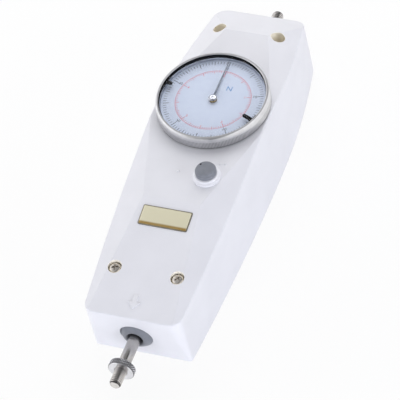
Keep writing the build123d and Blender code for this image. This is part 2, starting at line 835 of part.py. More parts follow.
def pointer_hub():
    """Turned boss under and over the pointer, pressed on the arbor."""
    low = dial_z + 0.15
    boss = upright(hub_r, pointer_z + pointer_t, pointer_z + pointer_t + 0.75)
    boss = chamfer(boss.edges().group_by(Axis.Z)[-1], 0.35)
    boss -= upright(arbor_r, low - 1, pointer_z + pointer_t + 0.2)
    return boss


def pointer_sleeve():
    return ring(sleeve_r, arbor_r, dial_z + 0.15, pointer_z)


# ---- hold knob and brake -------------------------------------------------------------------
def pad_point():
    """Centre of the brake pad at rest, clear of the drum by what the lever closes."""
    to_drum = Vector(arbor_x - lever_x, arbor_y - lever_y, 0)
    side = Vector(to_drum.Y, -to_drum.X, 0).normalized()
    closes = lever_turn * to_drum.length
    away = drum_r + brake_pad_r + brake_gap + closes
    return (arbor_x + side.X * away, arbor_y + side.Y * away)


def hold_lever():
    """Lever with a fork round the crank at one end and the brake pad at the other."""
    pad_x, pad_y = pad_point()
    arm = plate_on([(lever_x, lever_y), (pad_x, pad_y)], lever_half_width, lever_z, lever_t)
    arm += upright(lever_eye_r, lever_z, lever_z + lever_t, lever_x, lever_y)
    tail = plate_on([(lever_x, lever_y), (crank_x, crank_y)], lever_half_width, lever_z, lever_t)
    heading = degrees(atan2(crank_y - lever_y, crank_x - lever_x))
    place = Pos(crank_x, crank_y, lever_z) * Rot(0, 0, heading)
    fork = RectangleRounded(2 * crank_r + 5.4, 2 * crank_r + 3.6, 1.0)
    head = extrude(fork, lever_t)
    slot = extrude(SlotCenterToCenter(4.0, 2 * (crank_r + crank_play)), 3 * lever_t)
    mouth = Pos(crank_r + 4, 0, 0) * Box(2 * crank_r + 6, 2 * (crank_r + crank_play), 3 * lever_t)
    body = arm + tail + place * head
    body -= place * Pos(0, 0, -lever_t) * slot
    body -= place * mouth
    body -= upright(lever_pin_r + arbor_play, lever_z - 1, lever_z + lever_t + 1, lever_x, lever_y)
    return body - upright(brake_pad_r, lever_z - 1, lever_z + lever_t + 1, pad_x, pad_y)


def brake_pad():
    pad_x, pad_y = pad_point()
    return upright(brake_pad_r, lever_z - 0.2, lever_z + lever_t + 0.2, pad_x, pad_y)


def lever_stud():
    """Shouldered stud on the chassis; the lever turns on it between its flange and its head."""
    stud = upright(2.6, chassis_top, lever_z - 0.15, lever_x, lever_y)
    stud += upright(lever_pin_r, lever_z - 0.15, lever_z + lever_t + 0.15, lever_x, lever_y)
    return stud + upright(2.4, lever_z + lever_t + 0.15, lever_z + lever_t + 0.95, lever_x, lever_y)


def knob_shaft():
    """Shaft under the knob with the off-centre crank disc at its inner end."""
    top = knob_base() + knob_h / 2
    shaft = upright(knob_shaft_r, lever_z + lever_t, top, knob_x, knob_y)
    return shaft + upright(crank_r, lever_z - 0.3, lever_z + lever_t + 0.3, crank_x, crank_y)


def knob_base():
    return plateau_z + knob_boss_h + knob_gap


def knob_bush():
    top = plateau_z + knob_boss_h
    low = roof_z - 1.5
    return ring(knob_bush_r, knob_shaft_r + rod_play, low, top, knob_x, knob_y)


def hold_knob():
    """Turned knob with a crowned top; its bore is pressed on the shaft."""
    base = knob_base()
    body = upright(knob_r, base, base + knob_h, knob_x, knob_y)
    body = chamfer(body.edges().group_by(Axis.Z)[-1], knob_crown)
    return body - upright(knob_shaft_r, base - 1, base + knob_h / 2, knob_x, knob_y)


# ---- nodes ---------------------------------------------------------------------------------
seat_end = spring_seat_y + spring_seat_t
nodes = {
    "front_housing": front_housing(),
    "back_cover": back_cover(),
    "housing_screws": housing_screws(),
    "name_plate": name_plate(),
    "push_collar": collar(-1),
    "pull_collar": collar(1),
    "push_bush": bush(-1),
    "pull_bush": bush(1),
    "measuring_rod": measuring_rod(),
    "rod_lock_nut": lock_nut(),
    "rack_carrier": rack_carrier(),
    "rack": rack(),
    "rack_screws": rack_screws(),
    "guide_pin": guide_pin(),
    "spring_seat": clamp_ring(spring_seat_r, spring_seat_y, seat_end),
    "main_spring": main_spring(),
    "spring_cup": along(spring_seat_r, block_pull_y - cup_t, block_pull_y)
                  - along(rod_r + 0.3, block_pull_y - cup_t - 1, block_pull_y + 1),
    "rest_stop": clamp_ring(carrier_r + stop_rise, stop_y + buffer_t + block_gap,
                            stop_y + buffer_t + block_gap + rest_stop_length),
    "stop_buffer": along(carrier_r + stop_rise, stop_y, stop_y + buffer_t)
                   - along(rod_r + 0.3, stop_y - 1, stop_y + buffer_t + 1),
    "chassis_plate": chassis_plate(),
    "push_guide_block": guide_block(chassis_push_y),
    "pull_guide_block": guide_block(block_pull_y),
    "block_screws": block_screws(),
    "chassis_screws": chassis_screws(),
    "pinion_cock": cock(),
    "bridge_plate": bridge_plate(),
    "bridge_pillars": bridge_pillars(),
    "bridge_screws": bridge_screws(),
    "pinion_arbor": pinion_arbor(),
    "rack_pinion": rack_pinion(),
    "drive_gear": drive_gear(),
    "brake_drum": brake_drum(),
    "centre_arbor": centre_arbor(),
    "centre_pinion": centre_pinion(),
    "hairspring": hairspring(),
    "hairspring_collet": hairspring_collet(),
    "hairspring_stud": hairspring_stud(),
    "pointer": pointer(),
    "pointer_hub": pointer_hub(),
    "pointer_sleeve": pointer_sleeve(),
    "bezel_ring": bezel_ring(),
    "bezel_snap_ring": snap_ring(),
    "dial_plate": dial_plate(),
    "spacer_ring": spacer_ring(),
    "lens_gasket": lens_gasket(),
    "lens": lens(),
    "limit_marker_low": limit_marker(marker_low_angle, marker_low_reach),
    "limit_marker_high": limit_marker(marker_high_angle, marker_high_reach),
    "hold_knob": hold_knob(),
    "knob_shaft": knob_shaft(),
    "knob_bush": knob_bush(),
    "hold_lever": hold_lever(),
    "brake_pad": brake_pad(),
    "lever_stud": lever_stud(),
}

os.makedirs("parts", exist_ok=True)
for name, solid in nodes.items():
    export_step(Pos(0, frame_y, 0) * solid, f"parts/{name}.step")
print(len(nodes), "nodes; travel", round(travel, 3), "mm; lever turn",
      round(degrees(lever_turn), 2), "deg; arbor", round(arbor_x, 3), round(arbor_y, 3))
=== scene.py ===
# %% [markdown]
# # A push-pull force gauge, dressed for its picture
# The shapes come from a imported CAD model, which already has its true size. This file gives every
# surface its finish and remakes the pieces whose charm is in fine detail: the grooved bezel, the
# printed dial, the knurled nut, the threads and the screws. Lengths are in metres, so a size that
# a maker would call 28.4 is written 28.4 * MM.

# %% Load the frame
import json
from math import atan2, cos, hypot, pi, radians, sin

import bmesh
import bpy
from mathutils import Matrix, Vector


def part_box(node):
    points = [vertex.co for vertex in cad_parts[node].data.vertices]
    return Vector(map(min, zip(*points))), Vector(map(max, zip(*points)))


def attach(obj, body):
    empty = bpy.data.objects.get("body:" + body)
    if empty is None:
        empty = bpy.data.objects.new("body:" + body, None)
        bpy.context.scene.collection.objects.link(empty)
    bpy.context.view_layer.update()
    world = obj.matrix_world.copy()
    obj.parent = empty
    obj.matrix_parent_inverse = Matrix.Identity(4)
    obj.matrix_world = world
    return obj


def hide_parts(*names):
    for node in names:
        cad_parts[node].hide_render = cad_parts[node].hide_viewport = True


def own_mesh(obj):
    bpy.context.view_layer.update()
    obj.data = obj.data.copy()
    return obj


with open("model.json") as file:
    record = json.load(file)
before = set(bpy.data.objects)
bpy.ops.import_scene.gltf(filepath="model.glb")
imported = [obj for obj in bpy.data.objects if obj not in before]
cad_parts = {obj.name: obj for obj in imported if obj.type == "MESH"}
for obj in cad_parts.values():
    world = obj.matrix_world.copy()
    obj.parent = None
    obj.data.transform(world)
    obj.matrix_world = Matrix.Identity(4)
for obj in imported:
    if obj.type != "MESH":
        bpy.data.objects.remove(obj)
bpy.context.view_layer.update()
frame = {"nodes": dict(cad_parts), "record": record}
MM = 0.001

# %% [markdown]
# ## Where things are
# A turned piece is easiest to draw round its own axis. The CAD model knows where each axis is, so
# the places below are read from the boxes of its pieces and not typed in again.

# %% Axes and levels
def middle_of(node):
    low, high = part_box(node)
    return (Vector(low) + Vector(high)) / 2


def low_of(node):
    return Vector(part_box(node)[0])


def high_of(node):
    return Vector(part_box(node)[1])


def radius_of(node):
    """Half the width of a node, in metres: the radius of a turned piece."""
    return (high_of(node).x - low_of(node).x) / 2


def levels_of(node):
    """The lowest and highest z of a node, in millimetres."""
    return low_of(node).z / MM, high_of(node).z / MM


def upright_axis(node):
    return Vector((middle_of(node).x, middle_of(node).y, 0))


def solids_of(node):
    """The lowest and highest corner of each separate solid in a node, in a fixed order."""
    bm = bmesh.new()
    bm.from_mesh(frame["nodes"][node].data)
    bmesh.ops.remove_doubles(bm, verts=bm.verts, dist=1e-6)
    todo = set(bm.verts)
    boxes = []
    while todo:
        front = [todo.pop()]
        island = []
        while front:
            vert = front.pop()
            island.append(vert.co.copy())
            for edge in vert.link_edges:
                neighbour = edge.other_vert(vert)
                if neighbour in todo:
                    todo.remove(neighbour)
                    front.append(neighbour)
        low = Vector([min(co[axis] for co in island) for axis in range(3)])
        high = Vector([max(co[axis] for co in island) for axis in range(3)])
        boxes.append((low, high))
    bm.free()
    # A set gives its vertices up in an order that changes from run to run, so the boxes are sorted.
    return sorted(boxes, key=lambda box: (box[0].y, box[0].x))


dial_axis = upright_axis("bezel_ring")
knob_axis = upright_axis("knob_bush")
rod_line = Vector((middle_of("measuring_rod").x, 0, middle_of("measuring_rod").z))
dial_face = high_of("dial_plate").z
print("dial axis", dial_axis, "knob axis", knob_axis, "rod line", rod_line)

# %% [markdown]
# ## The camera and the studio
# A long lens from high on the right gives the nearly parallel lines of a catalogue picture. The
# object lies on its back, and the camera is rolled so that the gauge stands diagonally.

# %% Camera
def add_object(name, data):
    """A new object that holds the data, linked to the scene."""
    thing = bpy.data.objects.new(name, data)
    bpy.context.scene.collection.objects.link(thing)
    return thing


camera = add_object("camera", bpy.data.cameras.new("camera"))
camera.location = (0.533922, -0.926271, 1.250361)
camera.rotation_euler = (radians(39.97588), radians(8.77408), radians(19.69593))
camera.data.lens = 300.345
camera.data.sensor_width = 36
bpy.context.scene.camera = camera
bpy.context.scene.view_settings.view_transform = "Standard"
print("camera at", tuple(round(c, 3) for c in camera.location))

# %% [markdown]
# ## Shader nodes
# A few kinds of node come again and again in the light and in the finishes. Each has a helper here
# that makes the node, plugs in its inputs and hands back its output.

# %% Node helpers
def calculate(nodes, links, operation, first, second=None, third=None):
    """One Math node; each input is a number or another node's output."""
    node = nodes.new("ShaderNodeMath")
    node.operation = operation
    for socket, value in zip(node.inputs, (first, second, third)):
        if value is None:
            continue
        if isinstance(value, (int, float)):
            socket.default_value = value
        else:
            links.new(value, socket)
    return node.outputs[0]


def vector_math(nodes, links, operation, vector, constant=None):
    """The outputs of one Vector Math node, fed by a vector and perhaps a constant."""
    node = nodes.new("ShaderNodeVectorMath")
    node.operation = operation
    links.new(vector, node.inputs[0])
    if constant is not None:
        node.inputs[1].default_value = constant
    return node.outputs


def ramp_between(nodes, links, value, start, end, low=0.0, high=1.0):
    """Low before start, high after end, and a straight change between them."""
    change = nodes.new("ShaderNodeMapRange")
    change.inputs["From Min"].default_value = start
    change.inputs["From Max"].default_value = end
    change.inputs["To Min"].default_value = low
    change.inputs["To Max"].default_value = high
    links.new(value, change.inputs["Value"])
    return change.outputs["Result"]


def mix_colours(nodes, links, share, first, second):
    """The first colour where the share is nought, the second where it is one."""
    mix = nodes.new("ShaderNodeMix")
    mix.data_type = "RGBA"
    links.new(share, mix.inputs["Factor"])
    for name, colour in (("A", first), ("B", second)):
        if isinstance(colour, tuple):
            mix.inputs[name].default_value = colour
        else:
            links.new(colour, mix.inputs[name])
    return mix.outputs["Result"]


def mix_shaders(nodes, links, share, first, second):
    """The first shader where the share is nought, the second where it is one."""
    mix = nodes.new("ShaderNodeMixShader")
    for socket, value in zip(mix.inputs, (share, first, second)):
        links.new(value, socket)
    return mix.outputs[0]


def rays_that_see(nodes, links):
    """One where the ray comes from the camera, a mirror or glass, and nought elsewhere."""
    path = nodes.new("ShaderNodeLightPath")
    direct = calculate(nodes, links, "MAXIMUM", path.outputs["Is Camera Ray"],
                       path.outputs["Is Glossy Ray"])
    return calculate(nodes, links, "MAXIMUM", direct, path.outputs["Is Transmission Ray"])


print("node helpers ready")

# %% [markdown]
# Pale paint shows its form by small differences of grey, so the light has to be soft and a little
# stronger from one side. A pale world fills every shadow, and large lamps shape the faces. The
# floor is mostly seen by its own pale glow, which keeps only a hint of the object's shadow. Metal
# needs something darker to mirror as well, so mirrored rays meet a striped tent: the world's level
# then depends on how far sideways the ray goes. The lamps themselves are kept out of mirrors,
# because one would lie across the whole lens.

# %% World
FILL = 0.36
world = bpy.data.worlds.new("studio")
world.use_nodes = True
bpy.context.scene.world = world
world_nodes = world.node_tree.nodes
world_links = world.node_tree.links
fill = world_nodes["Background"]
fill.inputs["Color"].default_value = (0.955, 0.96, 1.0, 1)
fill.inputs["Strength"].default_value = FILL
seen = world_nodes.new("ShaderNodeBackground")
seen.inputs["Strength"].default_value = 1.0
where_from = world_nodes.new("ShaderNodeTexCoord")
sideways = world_nodes.new("ShaderNodeSeparateXYZ")
tent = world_nodes.new("ShaderNodeValToRGB")
tent_stops = [(0.0, 1.4), (0.12, 1.25), (0.2, 1.05), (0.3, 0.46), (0.5, 0.42), (0.6, 0.35),
              (0.65, 0.08), (0.74, 0.08), (0.8, 1.2), (0.92, 1.1), (1.0, 1.2)]
while len(tent.color_ramp.elements) < len(tent_stops):
    tent.color_ramp.elements.new(0.5)
for stop, (place, level) in zip(tent.color_ramp.elements, tent_stops):
    stop.position = place
    stop.color = (level, level, level * 1.02, 1)
mirrored = world_nodes.new("ShaderNodeLightPath")
world_links.new(where_from.outputs["Generated"], sideways.inputs[0])
world_links.new(ramp_between(world_nodes, world_links, sideways.outputs["X"], -1.0, 1.0),
                tent.inputs["Fac"])
plain_or_tent = mix_colours(world_nodes, world_links, mirrored.outputs["Is Glossy Ray"],
                            (1, 1, 1, 1), tent.outputs["Color"])
world_links.new(plain_or_tent, seen.inputs["Color"])
world_links.new(mix_shaders(world_nodes, world_links, rays_that_see(world_nodes, world_links),
                            fill.outputs[0], seen.outputs[0]),
                world_nodes["World Output"].inputs["Surface"])
print("world lit")

# %% Lamps
def soft_lamp(name, place, size, power, tint=(1, 1, 1)):
    """A softbox at a place, turned towards the middle of the gauge."""
    lamp = add_object(name, bpy.data.lights.new(name, "AREA"))
    lamp.data.shape = "RECTANGLE"
    lamp.data.size = size[0]
    lamp.data.size_y = size[1]
    lamp.data.energy = power
    lamp.data.color = tint
    lamp.location = place
    lamp.visible_glossy = False
    lamp.rotation_euler = (Vector(place) - Vector((0, 0, 0.02))).to_track_quat("Z", "Y").to_euler()


COOL = (0.9, 0.925, 1.0)
soft_lamp("right_lamp", (1.1, -0.25, 0.32), (0.9, 0.6), 5.9, COOL)
soft_lamp("left_lamp", (-1.1, -0.15, 0.34), (0.9, 0.6), 4.5)
soft_lamp("foot_lamp", (0.05, -1.2, 0.25), (0.9, 0.45), 7.3, COOL)
soft_lamp("over_lamp", (-0.1, 0.6, 0.62), (1.0, 0.8), 5.5)
print("four soft lamps")

# %% Floor
GLOW_SHARE = 0.89
floor_bm = bmesh.new()
bmesh.ops.create_grid(floor_bm, x_segments=1, y_segments=1, size=4.0)
floor_mesh = bpy.data.meshes.new("floor")
floor_bm.to_mesh(floor_mesh)
floor_bm.free()
floor = add_object("floor", floor_mesh)
paper = bpy.data.materials.new("backdrop_paper")
paper.use_nodes = True
paper_nodes = paper.node_tree.nodes
paper_links = paper.node_tree.links
paper_nodes.remove(paper_nodes["Principled BSDF"])
matt = paper_nodes.new("ShaderNodeBsdfDiffuse")
matt.inputs["Color"].default_value = (0.9, 0.9, 0.9, 1)
glow = paper_nodes.new("ShaderNodeEmission")
share = calculate(paper_nodes, paper_links, "MULTIPLY",
                  rays_that_see(paper_nodes, paper_links), GLOW_SHARE)
paper_links.new(mix_shaders(paper_nodes, paper_links, share, matt.outputs[0], glow.outputs[0]),
                paper_nodes["Material Output"].inputs["Surface"])
floor_mesh.materials.append(paper)
print("floor laid")

# %% [markdown]
# ## Finishes
# A finish is more than a colour. Paint has a faint orange peel, turned metal has fine rings round
# its axis, and moulded plastic has a dull grain. Each finish below starts from one pattern of
# soft noise, read at the object's own coordinates, that tints the colour, and a finer one that
# drives the roughness and a very small bump.

# %% Finish helpers
def srgb(red, green, blue):
    """A colour written as 0 to 255 on a screen, turned into the linear values a shader wants."""
    linear = []
    for value in (red, green, blue):
        share_of_full = value / 255
        if share_of_full <= 0.04045:
            linear.append(share_of_full / 12.92)
        else:
            linear.append(((share_of_full + 0.055) / 1.055) ** 2.4)
    return (*linear, 1)


def start_finish(name, roughness=0.5, metallic=0.0):
    material = bpy.data.materials.new(name)
    material.use_nodes = True
    shader = material.node_tree.nodes["Principled BSDF"]
    shader.inputs["Roughness"].default_value = roughness
    shader.inputs["Metallic"].default_value = metallic
    return material, material.node_tree.nodes, material.node_tree.links, shader


def flat_coordinates(nodes, links, stretch=(1, 1, 1)):
    """Object coordinates, stretched where a pattern runs longer one way."""
    place = nodes.new("ShaderNodeTexCoord")
    mapping = nodes.new("ShaderNodeMapping")
    mapping.inputs["Scale"].default_value = stretch
    links.new(place.outputs["Object"], mapping.inputs["Vector"])
    return mapping.outputs["Vector"]


def centred_on(nodes, links, centre):
    place = nodes.new("ShaderNodeTexCoord")
    return vector_math(nodes, links, "SUBTRACT", place.outputs["Object"], centre)["Vector"]


def ring_coordinates(nodes, links, centre, upright=True):
    """Coordinates made of the distance from an axis and the height along it."""
    centred = centred_on(nodes, links, centre)
    flat = vector_math(nodes, links, "MULTIPLY", centred, (1, 1, 0) if upright else (1, 0, 1))
    distance = vector_math(nodes, links, "LENGTH", flat["Vector"])
    split = nodes.new("ShaderNodeSeparateXYZ")
    joined = nodes.new("ShaderNodeCombineXYZ")
    links.new(centred, split.inputs[0])
    links.new(distance["Value"], joined.inputs["X"])
    links.new(split.outputs["Z" if upright else "Y"], joined.inputs["Z"])
    return joined.outputs["Vector"]


def add_noise(nodes, links, vector, grain, detail):
    """Soft noise whose blots are about one grain wide, in metres."""
    noise = nodes.new("ShaderNodeTexNoise")
    noise.inputs["Scale"].default_value = 1 / grain
    noise.inputs["Detail"].default_value = detail
    links.new(vector, noise.inputs["Vector"])
    return noise.outputs["Fac"]


def tint(nodes, links, value, dark, light, shader, low=0.3, high=0.7):
    """Run the base colour from dark to light, two screen colours, with a pattern's value."""
    ramp = nodes.new("ShaderNodeValToRGB")
    ramp.color_ramp.elements[0].position = low
    ramp.color_ramp.elements[1].position = high
    ramp.color_ramp.elements[0].color = srgb(*dark)
    ramp.color_ramp.elements[1].color = srgb(*light)
    links.new(value, ramp.inputs["Fac"])
    links.new(ramp.outputs["Color"], shader.inputs["Base Color"])
    return ramp


def vary_roughness(nodes, links, value, least, most, shader):
    links.new(ramp_between(nodes, links, value, 0.3, 0.7, least, most), shader.inputs["Roughness"])


def raise_bump(nodes, links, value, height, shader, strength):
    bump = nodes.new("ShaderNodeBump")
    bump.inputs["Strength"].default_value = strength
    bump.inputs["Distance"].default_value = height
    links.new(value, bump.inputs["Height"])
    links.new(bump.outputs["Normal"], shader.inputs["Normal"])


def polar(nodes, links, centre, upright=True):
    """Distance from an axis, angle round it and height along it, of each point."""
    split = nodes.new("ShaderNodeSeparateXYZ")
    links.new(centred_on(nodes, links, centre), split.inputs[0])
    across = split.outputs["X"]
    other = split.outputs["Y" if upright else "Z"]
    height = split.outputs["Z" if upright else "Y"]
    squares = calculate(nodes, links, "ADD", calculate(nodes, links, "MULTIPLY", across, across),
                        calculate(nodes, links, "MULTIPLY", other, other))
    distance = calculate(nodes, links, "SQRT", squares)
    return distance, calculate(nodes, links, "ARCTAN2", other, across), height


print("finish helpers ready")

# %% [markdown]
# The case is die-cast alloy under satin off-white paint. Its colour hardly changes, so the
# work is done by a fine orange peel in the bump and by a roughness that wanders a little.

# %% Painted, moulded and rubber finishes
def painted(name, dark, light):
    material, nodes, links, shader = start_finish(name)
    where = flat_coordinates(nodes, links)
    tint(nodes, links, add_noise(nodes, links, where, 18 * MM, 4), dark, light, shader)
    peel = add_noise(nodes, links, where, 0.45 * MM, 2)
    vary_roughness(nodes, links, add_noise(nodes, links, where, 6 * MM, 5), 0.34, 0.46, shader)
    raise_bump(nodes, links, peel, 0.012 * MM, shader, 0.6)
    shader.inputs["Coat Weight"].default_value = 0.12
    shader.inputs["Coat Roughness"].default_value = 0.3
    return material


def cream_wells(material):
    """Paint the screw wells a warm cream, lighter than the case paint, by distance from each
    screw's axis: painted light that lifts the shade inside the wells.
    """
    nodes = material.node_tree.nodes
    links = material.node_tree.links
    base = nodes["Principled BSDF"].inputs["Base Color"]
    place = nodes.new("ShaderNodeTexCoord")
    flat = vector_math(nodes, links, "MULTIPLY", place.outputs["Object"], (1, 1, 0))["Vector"]
    nearest = None
    for low, high in solids_of("housing_screws"):
        middle = ((low.x + high.x) / 2, (low.y + high.y) / 2, 0)
        found = vector_math(nodes, links, "DISTANCE", flat, middle)["Value"]
        nearest = found if nearest is None else calculate(nodes, links, "MINIMUM", nearest, found)
    in_well = ramp_between(nodes, links, nearest, 3.55 * MM, 3.44 * MM)
    coat = base.links[0].from_socket
    links.new(mix_colours(nodes, links, in_well, coat, srgb(252, 246, 232)), base)


def moulded(name, dark, light, least, most, grain=0.25 * MM, height=0.02 * MM):
    material, nodes, links, shader = start_finish(name)
    where = flat_coordinates(nodes, links)
    tint(nodes, links, add_noise(nodes, links, where, 2.5 * MM, 4), dark, light, shader)
    fine = add_noise(nodes, links, where, grain, 2)
    vary_roughness(nodes, links, fine, least, most, shader)
    raise_bump(nodes, links, fine, height, shader, 0.7)
    return material


case_paint = painted("satin_case_paint", (224, 224, 229), (229, 229, 234))
knob_grey = moulded("grey_knob_plastic", (120, 123, 131), (129, 132, 140), 0.42, 0.6)
collar_grey = moulded("grey_collar_plastic", (120, 123, 131), (131, 134, 142), 0.36, 0.5)
rubber = moulded("black_rubber", (10, 11, 14), (18, 19, 23), 0.5, 0.7)
marker_black = moulded("black_marker_enamel", (6, 6, 9), (12, 12, 16), 0.45, 0.6)
for black in (rubber, marker_black):
    black.node_tree.nodes["Principled BSDF"].inputs["Specular IOR Level"].default_value = 0.1
print("paint, plastic and rubber made")

# %% [markdown]
# Metals get their colour from what they mirror. Rings left by the lathe or the grinder stretch the
# highlights across them, so the turned pieces read noise along the distance from their axis.

# %% Metal finishes
# Painted shade: a near-black that is mixed into a metal's colour in its grooves, thread roots and
# knurl valleys.
PAINTED_SHADE_COLOUR = (0.012, 0.012, 0.013, 1)


def metal(name, dark, light, least, most, vector_of, grain=0.12 * MM, height=0.004 * MM,
          shade_of=None):
    """shade_of, where given, returns a value from 0 in the open to 1 in a dark recess; that share
    of a near-black painted shade is mixed into the base colour.
    """
    material, nodes, links, shader = start_finish(name, metallic=1.0)
    where = vector_of(nodes, links)
    fine = add_noise(nodes, links, where, grain, 3)
    broad = add_noise(nodes, links, flat_coordinates(nodes, links), 3 * MM, 4)
    unshaded_colour = tint(nodes, links, broad, dark, light, shader)
    if shade_of:
        links.new(mix_colours(nodes, links, shade_of(nodes, links), unshaded_colour.outputs["Color"], PAINTED_SHADE_COLOUR),
                  shader.inputs["Base Color"])
    vary_roughness(nodes, links, fine, least, most, shader)
    raise_bump(nodes, links, fine, height, shader, 0.6)
    return material


def round_dial(nodes, links):
    return ring_coordinates(nodes, links, dial_axis)


def round_rod(nodes, links):
    return ring_coordinates(nodes, links, rod_line, upright=False)


GROOVES = 250
GROOVES_START = 0.45
GROOVES_TALL = 3.9
groove_low = low_of("bezel_ring").z / MM + GROOVES_START
groove_high = groove_low + GROOVES_TALL


def bezel_grooves(nodes, links):
    """Painted shade between the ribs of the grooved band, and a painted shadow line along the foot
    of the ring.
    """
    _, angle, height = polar(nodes, links, dial_axis)
    rib = calculate(nodes, links, "COSINE", calculate(nodes, links, "MULTIPLY", angle, GROOVES))
    between = ramp_between(nodes, links, rib, 0.3, -0.9, 0.0, 0.45)
    above = ramp_between(nodes, links, height, groove_low * MM, (groove_low + 0.1) * MM)
    below = ramp_between(nodes, links, height, groove_high * MM, (groove_high - 0.3) * MM)
    in_band = calculate(nodes, links, "MULTIPLY", above, below)
    foot = ramp_between(nodes, links, height, (groove_low + 0.1) * MM, (groove_low - 0.1) * MM,
                        0.0, 0.9)
    return calculate(nodes, links, "MAXIMUM", calculate(nodes, links, "MULTIPLY", between, in_band),
                     foot)


def thread_roots(nodes, links):
    """Painted shade at the root of a thread and none on its crest; the plain rod is darkened a
    little too, so that the crests carry a painted highlight beside it.
    """
    distance, _, _ = polar(nodes, links, rod_line, upright=False)
    root = ramp_between(nodes, links, distance, 2.82 * MM, 2.55 * MM, 0.0, 0.95)
    inside = ramp_between(nodes, links, distance, 2.3 * MM, 2.4 * MM)
    plain = ramp_between(nodes, links, distance, 2.97 * MM, 2.985 * MM, 0.0, 0.35)
    thread = calculate(nodes, links, "MULTIPLY", root, inside)
    return calculate(nodes, links, "MAXIMUM", thread, plain)


def knurl_valleys(nodes, links):
    """Painted shade between the diamonds of the nut's rim."""
    distance, _, _ = polar(nodes, links, rod_line, upright=False)
    rim_radius = radius_of("rod_lock_nut")
    valley = ramp_between(nodes, links, distance, rim_radius - 0.14 * MM, rim_radius - 0.26 * MM,
                          0.0, 0.97)
    on_rim = ramp_between(nodes, links, distance, rim_radius - 0.5 * MM, rim_radius - 0.42 * MM)
    return calculate(nodes, links, "MULTIPLY", valley, on_rim)


def along_case(nodes, links):
    return flat_coordinates(nodes, links, stretch=(1, 0.05, 1))


# The bezel, the rod and the nut mix painted shade into their grooves, thread roots and knurl
# valleys through shade_of.
bezel_chrome = metal("bezel_chrome", (218, 218, 220), (232, 232, 234), 0.28, 0.4, round_dial,
                     shade_of=bezel_grooves)
hub_chrome = metal("hub_chrome", (158, 158, 164), (184, 184, 190), 0.12, 0.26, round_dial)
spacer_alloy = metal("spacer_alloy", (158, 162, 172), (174, 178, 188), 0.35, 0.5, round_dial)
rod_steel = metal("ground_rod_steel", (208, 205, 202), (226, 223, 220), 0.12, 0.22, round_rod,
                  shade_of=thread_roots)
nut_chrome = metal("knurled_nut_chrome", (216, 216, 220), (234, 234, 238), 0.16, 0.3, round_rod,
                   shade_of=knurl_valleys)
screw_nickel = metal("nickel_screw", (206, 200, 192), (224, 219, 212), 0.2, 0.34, flat_coordinates)
chassis_alloy = metal("machined_chassis", (186, 188, 192), (202, 204, 207), 0.3, 0.45,
                      along_case)
bronze = metal("bearing_bronze", (176, 128, 78), (196, 148, 96), 0.3, 0.45, flat_coordinates)
brass = metal("machined_brass", (196, 164, 96), (214, 184, 116), 0.25, 0.4, flat_coordinates)
spring_steel = metal("spring_wire", (130, 131, 136), (150, 151, 156), 0.25, 0.4, flat_coordinates)
pointer_steel = metal("pointer_steel", (88, 92, 100), (110, 114, 122), 0.3, 0.45, along_case)
print("metals made")

# %% [markdown]
# The lens is a thin clear pane. Light has to reach the dial through it, so light that comes from a
# lamp or bounces off the dial meets a plain transparent sheet, while the camera sees glass. Its
# index of refraction is lower than real glass has, because a stronger mirror image of the studio
# would veil the print and the black ring in grey.

# %% Glass and dial finishes
LENS_IOR = 1.1
lens_glass, glass_nodes, glass_links, glass = start_finish("clear_lens_glass", roughness=0.02)
glass.inputs["Base Color"].default_value = (0.97, 0.985, 1.0, 1)
glass.inputs["Transmission Weight"].default_value = 1.0
glass.inputs["IOR"].default_value = LENS_IOR
smear = add_noise(glass_nodes, glass_links, flat_coordinates(glass_nodes, glass_links), 6 * MM, 3)
vary_roughness(glass_nodes, glass_links, smear, 0.0, 0.035, glass)
lamp_path = glass_nodes.new("ShaderNodeLightPath")
clear = glass_nodes.new("ShaderNodeBsdfTransparent")
clear.inputs["Color"].default_value = (0.97, 0.98, 1.0, 1)
shaded = glass.outputs[0]
for light_ray in ("Is Shadow Ray", "Is Diffuse Ray"):
    shaded = mix_shaders(glass_nodes, glass_links, lamp_path.outputs[light_ray], shaded,
                         clear.outputs[0])
glass_links.new(shaded, glass_nodes["Material Output"].inputs["Surface"])

dial_white = moulded("dial_enamel", (204, 210, 224), (211, 217, 229), 0.45, 0.55,
                     grain=0.6 * MM, height=0.004 * MM)
print_black = moulded("black_print", (34, 38, 50), (48, 52, 64), 0.5, 0.6)
print_red = moulded("red_print", (206, 62, 78), (218, 78, 92), 0.5, 0.6)
print_blue = moulded("blue_print", (84, 136, 186), (98, 148, 196), 0.5, 0.6)
print("glass, dial and print made")

# %% [markdown]
# ## Dressing the CAD pieces
# Most pieces are right as they come, and only need the finish of their own material. A piece that
# is remade further on is hidden by its stand-in there.

# %% Finishes by material
finish_of_slot = {
    "case_paint": case_paint, "nickel_screw": screw_nickel, "plate_gold": brass,
    "grey_collar": collar_grey, "grey_knob": knob_grey, "bronze": bronze, "brass": brass,
    "chassis_alloy": chassis_alloy, "rod_steel": rod_steel, "spring_steel": spring_steel,
    "bright_chrome": hub_chrome, "bezel_chrome": bezel_chrome, "spacer_alloy": spacer_alloy,
    "black_rubber": rubber, "dial_white": dial_white, "pointer_black": pointer_steel,
    "marker_black": marker_black, "clear_lens": lens_glass,
}
slot_of_node = {part["node"]: part["material_slot"] for part in frame["record"]["subparts"]}
for node, thing in frame["nodes"].items():
    thing.data.materials.clear()
    thing.data.materials.append(finish_of_slot[slot_of_node[node]])
front_paint = painted("satin_front_paint", (224, 224, 229), (229, 229, 234))
cream_wells(front_paint)
frame["nodes"]["front_housing"].data.materials[0] = front_paint
print(len(slot_of_node), "nodes have a finish")

# %% [markdown]
# ## Helpers for the remade pieces
# Nearly all of them are turned pieces. A turned piece is one outline, spun a full turn, so the
# helper takes the outline as radius and height, rounds the corners that are named, and
# spins it. Its corners are rounded before the spin, where a bevel touches two edges and not
# hundreds of faces.

